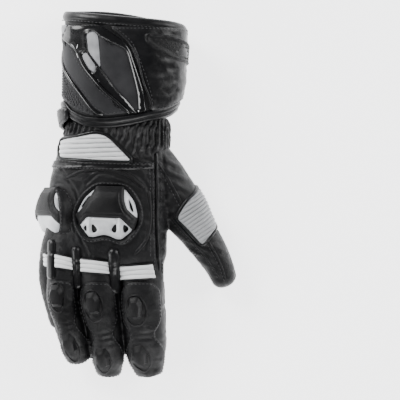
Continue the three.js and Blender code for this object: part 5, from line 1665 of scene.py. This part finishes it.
class GAUNTLET_OT_back(bpy.types.Operator):
    """Lays the ribbed white panel, its border, the yoke seams and the side seam on the back"""

    bl_idname = "gauntlet.back"
    bl_label = "Back of the Hand"

    def execute(self, context):
        face = made["back_soft"]
        outline = np.array(on_hand(BACK_PANEL))
        pitch = (0.438 - 0.255) * PALM_LENGTH / sizes().back_ribs
        turn = math.radians(2)
        ribs = ribbed(
            0.5, 3.3, pitch, turn, on_hand([(-0.2, 0.262)])[0] + np.array([0, pitch * 0.08]), 1.0,
        )
        puffed = panel(
            "white_ribs", outline, face, ribs, "pleated_white", radius=3.5, step=0.42,
            nodes=["back_panel"], slot="stretch_white",
        )
        border = rounded_loop(drawn_out(outline, 1.3), 4, 1.2)
        rods(
            "panel_border", [face.at(np.vstack([border, border[:2]]))], 1.5, 1.5, "smooth_leather",
            lift=0.4,
        )
        hem = hand.wrap(on_hand(BACK_HEM), edge=0.35)

        panel(
            "yoke_band", hem, hand_wrap(), puff(0.5, 1.0, 1.1), "smooth_leather", radius=1.5, step=1.2,
            stitch=1.3, nodes=["back_hem"], slot="leather_black",
        )
        seam = on_line(face, on_hand(SIDE_SEAM))
        rods(
            "side_welt", [seam], 1.2, 1.3, "smooth_leather", lift=0.2, nodes=["side_seam"],
            slot="leather_black",
        )
        for line, gap in ((YOKE, 2.2), (SIDE_SEAM, 3.2), (SIDE_SEAM, -3.2), (INNER_SEAM, 1.6), (INNER_SEAM, -1.6)):
            sew_line(face, shifted(on_hand(line), gap), 0.35)
        for line in EMBOSSED:
            made.setdefault("rolls", []).append(on_line(face, on_hand(line)))
        rods("embossed_rolls", made["rolls"], 1.5, 1.1, "drummed_leather", lift=0.0)
        return {"FINISHED"}


def shifted(line, gap):
    """A line moved sideways."""
    line = np.array(line, float)
    ahead = np.gradient(line, axis=0)
    ahead /= np.linalg.norm(ahead, axis=1, keepdims=True)
    return line + np.stack([-ahead[:, 1], ahead[:, 0]], -1) * gap


def drawn_out(outline, gap):
    """An outline made larger all round."""
    loop = rounded_loop(outline, 3, 1.5)
    ahead = np.roll(loop, -1, 0) - np.roll(loop, 1, 0)
    across = np.stack([-ahead[:, 1], ahead[:, 0]], -1)
    across /= np.linalg.norm(across, axis=1, keepdims=True)
    grown = loop + across * gap
    if inside(grown, loop).mean() > 0.5:
        grown = loop - across * gap
    return grown[loop_distance(grown, [loop]) > abs(gap) * 0.9]


class GAUNTLET_OT_guards(bpy.types.Operator):
    """Sets the knuckle guard and the side guard, each a pale base under a black shield"""

    bl_idname = "gauntlet.guards"
    bl_label = "Guards"

    def execute(self, context):
        self.guard("guard", 1.0, GUARD_PLACE, GUARD_VENTS, 7.0)
        lift = self.guard("side_guard", SIDE_GUARD_SHARE, SIDE_GUARD_PLACE, [], 11.0)
        rim = np.array(GUARD_RIM) * [GUARD_WIDTH, GUARD_LENGTH]
        outer, inner = rim * 1.2 + GUARD_PLACE[:2], rim * 1.04 + GUARD_PLACE[:2]
        face = made["back_soft"]
        padding = panel(
            "guard_padding", outer, face, puff(0.6, 2.3, 2.0), "drummed_leather", holes=[inner],
            radius=7, step=1.3, sink=1.4, stitch=1.3, nodes=["guard_surround"], slot="leather_black",
        )
        self.flank(lift)
        return {"FINISHED"}

    def flank(self, lift):
        """The leather of the back laps over the inner edge of the side guard."""
        size = np.array([GUARD_WIDTH, GUARD_LENGTH]) * SIDE_GUARD_SHARE
        rim = rounded_loop(np.array(GUARD_RIM) * size, 4.5, 1.0)
        inner = rim[rim[:, 0] > 0.2 * size[0]]
        p, n = Plane(SIDE_GUARD_PLACE).at(inner)
        brim = p + n * lift(inner)[:, None]
        brim = brim[np.argsort(brim[:, 1])]
        y = np.linspace(brim[0, 1], brim[-1, 1], 9)
        x = np.interp(y, brim[:, 1], brim[:, 0])
        lap = FLANK_LAP * np.sin(np.linspace(0.15, math.pi - 0.15, 9))
        outline = [*zip(x - lap, y), *zip(x[::-1] + FLANK_REACH, y[::-1])]
        back = made["back_soft"]

        def height(uv, edge):
            ground = back.at(uv)[0][:, 2]
            top = np.interp(uv[:, 1], brim[:, 1], brim[:, 2]) + 1.2
            past = uv[:, 0] - np.interp(uv[:, 1], brim[:, 1], brim[:, 0])
            held = 1 - step_up(0, FLANK_REACH, past)
            return ground + np.maximum(top - ground, 0) * held + 0.4 - 1.2 * np.exp(-edge / 0.7)

        panel(
            "flank_leather", outline, Plane((0, 0, 0, 0, 0, 0)), height, "drummed_leather", radius=3,
            step=1.2, sink=lambda uv: 6 - back.at(uv)[0][:, 2], stitch=1.5,
        )

    def guard(self, name, share, place, vents, deep):
        """One guard: its pale base with slots, the hollow under it painted near black with shade, and its shield."""
        size = np.array([GUARD_WIDTH, GUARD_LENGTH]) * share
        tall = GUARD_HEIGHT * share
        rim = np.array(GUARD_RIM) * size
        smooth = rounded_loop(rim, 4.5, 1.0)
        peak = np.array([0, -0.1]) * size
        away = smooth - peak
        bearing = np.arctan2(away[:, 1], away[:, 0])
        order = np.argsort(bearing)
        bearing, reach = bearing[order], np.linalg.norm(away, axis=1)[order]
        bearing = np.concatenate([bearing - 2 * math.pi, bearing, bearing + 2 * math.pi])
        reach = np.tile(reach, 3)

        def lift(uv):
            d = uv - peak
            far = np.interp(np.arctan2(d[:, 1], d[:, 0]), bearing, reach)
            part = np.linalg.norm(d, axis=1) / far
            return tall * through([0, 0.35, 0.62, 0.86, 1.0], [1.02, 1.0, 0.9, 0.66, 0.34], part)

        seat = Plane(place)
        slots = [np.array(slot) * size for slot in GUARD_SLOTS + vents]

        def base(uv, edge):
            ridge = 0.0
            for line in GUARD_RIDGES if vents else []:
                gap = line_distance(uv, np.array(line) * size)
                ridge = ridge + 1.1 * np.exp(-((gap / 1.2) ** 2))
            return lift(uv) - 1.6 * np.exp(-edge / 0.7) + ridge

        panel(
            name + "_body", rim, seat, base, "silver_enamel", holes=slots, radius=4.5, step=1.0,
            sink=deep, nodes=[name + "_base"], slot="guard_silver", crease=28,
        )
        floor = [(x * 0.8, y * 0.8) for x, y in rim]
        # The floor seen through the slots is painted near black: painted shade inside the slots.
        panel(
            name + "_hollow", floor, seat, lambda uv, edge: lift(uv) - 2.6 * share, "slot_black",
            radius=4, sink=deep * 0.5,
        )
        shield = np.array(GUARD_SHIELD) * size

        def facets(uv, edge):
            slope = np.minimum(edge / 1.6, 1) * 1.2
            top = 0.7 * step_up(3.6, 4.4, edge)
            return lift(uv) + 0.7 + slope + top

        panel(
            name + "_face", shield, seat, facets, "moulded_black", radius=1.6, step=0.9,
            sink=lambda uv: 2.2 - lift(uv), nodes=[name + "_shield"], slot="guard_black", crease=22,
        )
        return lift


FLANK_LAP = 3.9
FLANK_REACH = 9
GUARD_RIDGES = [
    [(-0.27, -0.1), (-0.285, -0.4)],
    [(0.215, -0.1), (0.235, -0.42)],
    [(-0.2, -0.12), (0.15, -0.13)],
]


class GAUNTLET_OT_fingers(bpy.types.Operator):
    """Dresses the fingers: white strips, padded bridges, stitched overlays and faceted sliders"""

    bl_idname = "gauntlet.fingers"
    bl_label = "Fingers"

    def execute(self, context):
        face, soft = made["back"], made["back_soft"]
        for name, outline in {**STRIPS, "little": LITTLE_STRIP}.items():
            corners = np.array(on_hand(outline))
            a, b, _, d = corners
            turn = math.atan2(b[1] - a[1], b[0] - a[0])
            deep = np.linalg.norm(a - d)
            normal = np.array([-math.sin(turn), math.cos(turn)])
            ribs = ribbed(0.6, 2.0, deep / 3, turn, d + normal * deep / 6, 0.4)
            band = panel(
                name + "_band", corners, soft, ribs, "pleated_white", radius=0.8, step=0.4,
                nodes=[name + "_strip"], slot="stretch_white",
            )
            for line in ((a, b), (d, corners[2])):
                made.setdefault("welts", []).append(on_line(soft, line))
        rods("strip_welts", made["welts"], 0.9, 1.5, "smooth_leather", lift=0.4)
        for name, (start, end, wide) in BRIDGES.items():
            line = np.array(on_hand([start, end]))
            capsule = capsule_of(line, wide * PALM_WIDTH)
            bands = lambda uv, edge, top=line[0]: (1.4 + 2.6 * (1 - np.exp(-edge / 1.5)) - 0.8 * np.exp(-(((np.linalg.norm(uv - top, axis=1) - 9) / 0.9) ** 2)))
            pad = panel(
                name + "_pad", capsule, soft, bands, "smooth_leather", radius=1.5, step=1.0, sink=2.0,
                nodes=[name + "_bridge"], slot="leather_black",
            )
        for name in ("index", "middle", "ring"):
            self.overlay(name)
            for at, part in zip(SLIDERS[name], ("upper", "lower")):
                self.slider(name, at, part)
        rods("slider_rolls", made["slider_rolls"], 1.1, 1.2, "drummed_leather", lift=1.2)
        rods("finger_rolls", made["finger_rolls"], 1.0, 0.9, "drummed_leather", lift=0.1)
        return {"FINISHED"}

    def overlay(self, name):
        """The hourglass of leather down the back of a finger, and the rolls beside it."""
        limb, reach = limbs[name], FINGERS[name]["reach"]
        face = Wrap(limb, FINGER_RADIUS, FINGER_LENGTH, made["skin"])
        at = lambda share, across: (
            float(oval_angle(across, FINGER_POWER)) * FINGER_RADIUS, share * reach * FINGER_LENGTH
        )
        left = [at(row[0], row[1]) for row in OVERLAY]
        right = [at(row[0], row[2]) for row in OVERLAY]
        outline = left + right[::-1]

        def height(uv, edge):
            p, _ = face.at(uv)
            crease = np.zeros(len(uv))
            for share in (0.52, 0.565):
                crease += 0.5 * np.exp(-(((uv[:, 1] / FINGER_LENGTH / reach - share) / 0.012) ** 2))
            return 0.6 + 1.1 * (1 - np.exp(-edge / 1.0)) + 0.3 * grain(p, 9.0, 4.0) - crease

        panel(
            name + "_overlay_leather", outline, face, height, "drummed_leather", radius=5, step=1.2,
            sink=1.0, stitch=1.5, nodes=[name + "_overlay"], slot="leather_black",
        )
        made.setdefault("finger_rolls", [])
        for sign in (-1, 1):
            side = [at(share, sign * 0.995) for share in (0.1, 0.45, 0.8)]
            side = [(u - sign * 6.5, v) for u, v in side]
            line = on_line(face, side)
            made["finger_rolls"].append(line)
            sew_line(face, [(u + sign * 2.6, v) for u, v in side], 0.25)

    def slider(self, name, at, part):
        """One hard slider, faceted, with its ring of rolled leather."""
        limb, along = limbs[name], at * FINGERS[name]["reach"]
        ahead, side, up = (a[0] for a in limb.frame(np.array([along])))
        half = through(limb.along, limb.halves, along)
        deep = through(limb.along, limb.deeps, along)
        lift = (1 - abs(SLIDER_ACROSS) ** FINGER_POWER) ** (1 / FINGER_POWER)
        centre = limb.centre(np.array([along]))[0] + [SLIDER_ACROSS * half, 0, deep * lift + 1.6]
        turn = turned(
            SLIDER_TILT, math.degrees(math.asin(-ahead[2])),
            math.degrees(math.atan2(ahead[0], -ahead[1])),
        )
        rim = np.array(SLIDER_RIM) * [SLIDER_WIDTH, SLIDER_LENGTH]
        rim = rim_of(rim, 1.0)
        rings = []
        for share, rise, shift in SLIDER_ROWS:
            flat = rim * share + [0, shift * SLIDER_LENGTH]
            ring = np.column_stack([flat, np.full(len(flat), rise * SLIDER_HEIGHT)])
            rings.append(ring @ turn.T + centre)
        verts, faces = rings_body(np.array(rings))
        add_piece(
            f"{name}_knob_{part}", verts, faces, "moulded_black", [f"{name}_slider_{part}"],
            "guard_black", crease=24,
        )
        face = Wrap(limb, FINGER_RADIUS, FINGER_LENGTH, made["skin"])
        u0 = float(oval_angle(SLIDER_ACROSS, FINGER_POWER)) * FINGER_RADIUS
        phi = np.linspace(0, 2 * math.pi, 40)
        wide, long = SLIDER_WIDTH * 0.5 + 1.3, SLIDER_LENGTH * 0.5 + 1.4
        ring = np.stack([u0 + wide * np.cos(phi), along * FINGER_LENGTH + long * np.sin(phi)], -1)
        made.setdefault("slider_rolls", []).append(face.at(ring))


SLIDER_RIM = [(-0.3, 0.46), (0.3, 0.46), (0.5, 0.15), (0.3, -0.46), (-0.3, -0.46), (-0.5, 0.15)]
# The rings of a slider: share of its rim, height and a shift along it
SLIDER_ROWS = [
    (1.02, -0.8, 0),
    (1.02, 0.22, 0),
    (0.96, 0.36, 0),
    (0.9, 0.42, 0),
    (0.74, 0.86, -0.02),
    (0.68, 0.98, -0.03),
    (0.4, 1.06, -0.03),
]


def rim_of(corners, radius):
    """An outline with each corner cut short."""
    out = []
    for i, corner in enumerate(corners):
        for other in (corners[i - 1], corners[(i + 1) % len(corners)]):
            away = other - corner
            out.append(corner + away / np.linalg.norm(away) * radius)
    return np.array(out)


def capsule_of(line, half):
    """The outline of a strip with round ends."""
    a, b = line
    ahead = (b - a) / np.linalg.norm(b - a)
    across = np.array([-ahead[1], ahead[0]])
    out = []
    for centre, sign in ((b, 1), (a, -1)):
        for phi in np.linspace(-math.pi / 2, math.pi / 2, 9):
            out.append(centre + half * sign * (math.cos(phi) * ahead + math.sin(phi) * across))
    return np.array(out)


class GAUNTLET_OT_thumb(bpy.types.Operator):
    """Lays the ribbed grey panel and its border on the thumb"""

    bl_idname = "gauntlet.thumb"
    bl_label = "Thumb"

    def execute(self, context):
        face = Wrap(thumb, FINGER_RADIUS, THUMB_LENGTH, made["skin"])
        outline = []
        for along, across in THUMB_PANEL:
            turn = float(oval_angle(across, FINGER_POWER)) - max(across - 1, 0) * 1.2
            outline.append((turn * FINGER_RADIUS, along * THUMB_LENGTH))
        ribs = ribbed(0.6, 1.5, 3.1, 0.0, (0, 0.5), 0.8)
        puffed = panel(
            "grey_ribs", outline, face, ribs, "pleated_grey", radius=3, step=0.45,
            nodes=["thumb_panel"], slot="stretch_grey",
        )
        border = rounded_loop(drawn_out(outline, 1.2), 3, 1.2)
        rods(
            "thumb_border", [face.at(np.vstack([border, border[:2]]))], 1.3, 1.3, "smooth_leather",
            lift=0.3,
        )
        for line in THUMB_SEAMS:
            line = [(float(oval_angle(across, FINGER_POWER)) * FINGER_RADIUS, along * THUMB_LENGTH)
                    for along, across in line]
            made.setdefault("thumb_rolls", []).append(on_line(face, line))
            sew_line(face, [(u + 2.4, v) for u, v in line], 0.25)
        rods("thumb_rolls", made["thumb_rolls"], 1.0, 0.9, "drummed_leather", lift=0.1)
        vents = [(float(oval_angle(across, FINGER_POWER)) * FINGER_RADIUS, along * THUMB_LENGTH)
                 for along, across in THUMB_VENTS]
        made["pores"] = dots(face, vents, 2.6, 0.1, inset=1.2)
        return {"FINISHED"}


class GAUNTLET_OT_palm(bpy.types.Operator):
    """Lays the padded slider, the glossy heel slider and the grip patch on the palm"""

    bl_idname = "gauntlet.palm"
    bl_label = "Palm"

    def execute(self, context):
        face = made["palm"]
        pad = panel(
            "palm_pad", on_hand(PALM_SLIDER), face, puff(1.2, 4.2, 2.2), "smooth_leather", radius=4,
            step=1.3, stitch=2.4, nodes=["palm_slider"], slot="leather_black",
        )

        def heel(uv, edge):
            step = 0.7 * step_up(4.5, 5.5, edge)
            return 1.0 + 1.9 * (1 - np.exp(-edge / 1.2)) + step

        heel_plan = hand.wrap(on_hand(HEEL_SLIDER), "palm", 0.3)
        panel(
            "heel_cap", heel_plan, hand_wrap(), heel, "gloss_film", radius=4, step=1.3,
            nodes=["heel_slider"], slot="gloss_black",
        )
        grip = np.array(on_hand(GRIP_PATCH))
        panel(
            "grip_leather", grip, face, puff(0.5, 0.9, 1.2), "smooth_leather", radius=4, step=1.4,
            stitch=1.6, nodes=["grip_patch"], slot="leather_black",
        )
        made["pits"] = dots(face, grip, 3.0, 1.42, inset=3.2, radius=4)
        for line in PALM_WELTS:
            made.setdefault("palm_rolls", []).append(on_line(face, on_hand(line)))
            sew_line(face, shifted(on_hand(line), 2.3), 0.3)
        rods("palm_rolls", made["palm_rolls"], 1.1, 0.9, "drummed_leather", lift=0.1)
        return {"FINISHED"}


class GAUNTLET_OT_stitches(bpy.types.Operator):
    """Sews every seam, sets near-black discs of painted shade where the vents and holes are, and knots the mesh"""

    bl_idname = "gauntlet.stitches"
    bl_label = "Stitches and Holes"

    def execute(self, context):
        stitched(made["stitches"])
        # Holes are not cut: each is a near-black disc painted with the shade inside a hole.
        for name, key, radius, height, sides, finish in (
            ("mesh_cells", "cells", 1.05, 0.7, 6, "spacer_mesh"),
            ("frame_studs", "studs", 0.5, 0.45, 6, "gloss_film"),
            ("vent_hole_shade", "vents", 0.85, 0.35, 8, "slot_black"),
            ("grip_hole_shade", "pits", 0.6, 0.3, 8, "slot_black"),
            ("thumb_hole_shade", "pores", 0.55, 0.3, 8, "slot_black"),
        ):
            points, outs = made[key]
            scattered(name, points, outs, radius, height, sides, finish)
        return {"FINISHED"}


def line_mesh(name, lines):
    """Lines as loose edges that carry the surface's normals."""
    mesh = bpy.data.meshes.new(name)
    points, edges, outs, start = [], [], [], 0
    for p, n in lines:
        p = np.column_stack([p[:, :2], np.maximum(p[:, 2], 0.5)])
        points.append((p - ORIGIN) * MM)
        outs.append(n)
        edges += [(start + i, start + i + 1) for i in range(len(p) - 1)]
        start += len(p)
    mesh.from_pydata(np.vstack(points).tolist(), edges, [])
    out = mesh.attributes.new("out", "FLOAT_VECTOR", "POINT")
    out.data.foreach_set("vector", np.vstack(outs).astype(np.float32).ravel())
    body = bpy.data.objects.new(name, mesh)
    bpy.context.scene.collection.objects.link(body)
    return body


def graph(name, sockets):
    """A node group with its named inputs."""
    tree = bpy.data.node_groups.new(name, "GeometryNodeTree")
    tree.interface.new_socket("Geometry", in_out="OUTPUT", socket_type="NodeSocketGeometry")
    tree.interface.new_socket("Geometry", in_out="INPUT", socket_type="NodeSocketGeometry")
    for key, kind in sockets:
        tree.interface.new_socket(key, in_out="INPUT", socket_type="NodeSocket" + kind)
    return tree, node(tree, "NodeGroupInput").outputs


def grown(body, tree, values, finish, nodes=(), slot=None):
    """Runs a node group on a body with the given inputs and leaves a plain mesh."""
    grow = body.modifiers.new(tree.name, "NODES")
    grow.node_group = tree
    names = {item.name: item.identifier for item in tree.interface.items_tree if item.in_out == "INPUT"}
    for key, value in values.items():
        grow[names[key]] = value
    result = evaluated_mesh(body)
    body.modifiers.remove(grow)
    if not len(result.polygons):
        raise RuntimeError(body.name + " came out empty")
    body.data = result
    return claim(body, nodes, slot)


def stitched(lines):
    """Lays one stitch after another along each line, a little uneven."""
    tree, given = graph(
        "Stitches",
        [
            ("Pitch", "Float"), ("Length", "Float"), ("Width", "Float"), ("Seed", "Int"),
            ("Thread", "Material"),
        ],
    )
    curve = node(tree, "GeometryNodeMeshToCurve", {"Mesh": given["Geometry"]})
    even = node(
        tree, "GeometryNodeResampleCurve", {"Curve": curve.outputs[0], "Length": given["Pitch"]},
        mode="LENGTH",
    )
    out = node(tree, "GeometryNodeInputNamedAttribute", {"Name": "out"}, data_type="FLOAT_VECTOR")
    ahead = node(tree, "GeometryNodeInputTangent")
    upright = node(tree, "FunctionNodeAlignRotationToVector", {"Vector": out.outputs[0]}, axis="Z")
    turned_to = node(
        tree, "FunctionNodeAlignRotationToVector",
        {"Rotation": upright.outputs[0], "Vector": ahead.outputs[0]}, axis="X", pivot_axis="Z",
    )
    ball = node(tree, "GeometryNodeMeshUVSphere", {"Segments": 6, "Rings": 4, "Radius": 0.5})
    size = node(
        tree, "ShaderNodeCombineXYZ", {"X": given["Length"], "Y": given["Width"], "Z": given["Width"]}
    )
    vary = node(
        tree, "FunctionNodeRandomValue",
        {"Min": (0.88, 0.9, 0.9), "Max": (1.08, 1.1, 1.1), "Seed": given["Seed"]},
        data_type="FLOAT_VECTOR",
    )
    scale = node(
        tree, "ShaderNodeVectorMath", {0: size.outputs[0], 1: vary.outputs[0]}, operation="MULTIPLY",
    )
    laid = node(
        tree, "GeometryNodeInstanceOnPoints",
        {
            "Points": even.outputs[0], "Instance": ball.outputs[0], "Rotation": turned_to.outputs[0],
            "Scale": scale.outputs[0],
        },
    )
    finish_graph(tree, laid, given["Thread"])
    body = line_mesh("stitching", lines)
    values = {
        "Pitch": sizes().stitch_pitch, "Length": sizes().stitch_length, "Width": sizes().stitch_width,
        "Seed": 7, "Thread": material("waxed_thread"),
    }
    grown(body, tree, values, "waxed_thread", slot="leather_black")


def scattered(name, points, outs, radius, height, sides, finish):
    """Sets a small stud, or a near-black disc painted with a hole's shade, at each point, upright on its surface."""
    tree, given = graph(
        name + "_field",
        [("Radius", "Float"), ("Height", "Float"), ("Seed", "Int"), ("Finish", "Material")],
    )
    out = node(tree, "GeometryNodeInputNamedAttribute", {"Name": "out"}, data_type="FLOAT_VECTOR")
    upright = node(tree, "FunctionNodeAlignRotationToVector", {"Vector": out.outputs[0]}, axis="Z")
    top = node(tree, "ShaderNodeMath", {0: given["Radius"], 1: 0.72}, operation="MULTIPLY")
    cone = node(
        tree, "GeometryNodeMeshCone",
        {
            "Vertices": sides, "Radius Top": top.outputs[0], "Radius Bottom": given["Radius"],
            "Depth": given["Height"],
        },
    )
    vary = node(
        tree, "FunctionNodeRandomValue", {2: 0.94, 3: 1.06, "Seed": given["Seed"]}, data_type="FLOAT"
    )
    laid = node(
        tree, "GeometryNodeInstanceOnPoints",
        {"Points": given["Geometry"], "Instance": cone.outputs[0], "Rotation": upright.outputs[0]},
    )
    tree.links.new(vary.outputs[1], laid.inputs["Scale"])
    finish_graph(tree, laid, given["Finish"])
    body = line_mesh(name, [(p[None], n[None]) for p, n in zip(points - outs * height * 0.3, outs)])
    values = {"Radius": radius * MM, "Height": height * MM, "Seed": 3, "Finish": material(finish)}
    grown(body, tree, values, finish)


def finish_graph(tree, laid, finish):
    """Ends a node group with real, dressed geometry."""
    real = node(tree, "GeometryNodeRealizeInstances", {"Geometry": laid.outputs[0]})
    dressed = node(tree, "GeometryNodeSetMaterial", {"Geometry": real.outputs[0], "Material": finish})
    node(tree, "NodeGroupOutput", {"Geometry": dressed.outputs[0]})


def on_line(surface, line, step=1.2):
    """A smooth line laid on a surface: its points and the surface's normals there."""
    return surface.at(curved(line, step))


class GAUNTLET_OT_stage(bpy.types.Operator):
    """Sets the pale floor, the soft lights and the camera straight above"""

    bl_idname = "gauntlet.stage"
    bl_label = "Stage"

    def execute(self, context):
        mesh = bpy.data.meshes.new("floor")
        size = 4.0
        corners = [(-size, -size, 0), (size, -size, 0), (size, size, 0), (-size, size, 0)]
        mesh.from_pydata(corners, [], [(0, 1, 2, 3)])
        mesh.materials.append(material("opal_board"))
        floor = bpy.data.objects.new("floor", mesh)
        context.scene.collection.objects.link(floor)
        aim = Vector(((68 - ORIGIN[0]) * MM, (0 - ORIGIN[1]) * MM, 0.03))
        for name, place, wide, power in LIGHTS:
            light = bpy.data.lights.new(name, "AREA")
            light.shape, light.size, light.energy = "DISK", wide, power
            lamp = bpy.data.objects.new(name, light)
            lamp.location = place
            lamp.rotation_euler = (aim - Vector(place)).to_track_quat("-Z", "Y").to_euler()
            context.scene.collection.objects.link(lamp)
        world = bpy.data.worlds.new("studio")
        world.use_nodes = True
        world.node_tree.nodes["Background"].inputs[0].default_value = (0.9, 0.92, 0.95, 1)
        world.node_tree.nodes["Background"].inputs[1].default_value = 0.14
        context.scene.world = world
        lens = bpy.data.cameras.new("camera")
        lens.sensor_width, lens.lens, lens.clip_end = 36, 200, 20
        camera = bpy.data.objects.new("camera", lens)
        distance = 0.34 * lens.lens / lens.sensor_width
        camera.location = aim + Vector((0, 0, distance))
        context.scene.collection.objects.link(camera)
        context.scene.camera = camera
        return {"FINISHED"}


LIGHTS = [
    ("window", (-1.15, 1.2, 0.95), 0.9, 46),
    ("bounce", (1.5, 0.6, 0.8), 1.0, 26),
    ("low", (0.3, -1.6, 0.9), 1.0, 24),
    ("side", (-1.6, -0.5, 0.7), 0.9, 20),
]


class GAUNTLET_PT_panel(bpy.types.Panel):
    """The settings and the steps that build the gauntlet"""

    bl_label = "Gauntlet"
    bl_space_type = "VIEW_3D"
    bl_region_type = "UI"
    bl_category = "Gauntlet"

    def draw(self, context):
        for group in (context.scene.gauntlet_sizes, context.scene.gauntlet_colours):
            box = self.layout.box()
            for key in group.__annotations__:
                box.prop(group, key)
        for step in STEPS:
            self.layout.operator(step.bl_idname)


STEPS = [
    GAUNTLET_OT_skin,
    GAUNTLET_OT_cuff,
    GAUNTLET_OT_cuff_armour,
    GAUNTLET_OT_flap,
    GAUNTLET_OT_wrist,
    GAUNTLET_OT_back,
    GAUNTLET_OT_guards,
    GAUNTLET_OT_fingers,
    GAUNTLET_OT_thumb,
    GAUNTLET_OT_palm,
    GAUNTLET_OT_stitches,
    GAUNTLET_OT_stage,
]
CLASSES = [GauntletColours, GauntletSizes, *STEPS, GAUNTLET_PT_panel]


def register():
    """Adds the classes and the settings to Blender."""
    for one in CLASSES:
        bpy.utils.register_class(one)
    bpy.types.Scene.gauntlet_colours = bpy.props.PointerProperty(type=GauntletColours)
    bpy.types.Scene.gauntlet_sizes = bpy.props.PointerProperty(type=GauntletSizes)


def unregister():
    """Takes them out again."""
    del bpy.types.Scene.gauntlet_colours
    del bpy.types.Scene.gauntlet_sizes
    for one in reversed(CLASSES):
        bpy.utils.unregister_class(one)


def main():
    """Builds the gauntlet and its stage."""
    register()
    for step in STEPS:
        group, name = step.bl_idname.split(".")
        getattr(getattr(bpy.ops, group), name)()


if __name__ == "__main__":
    main()
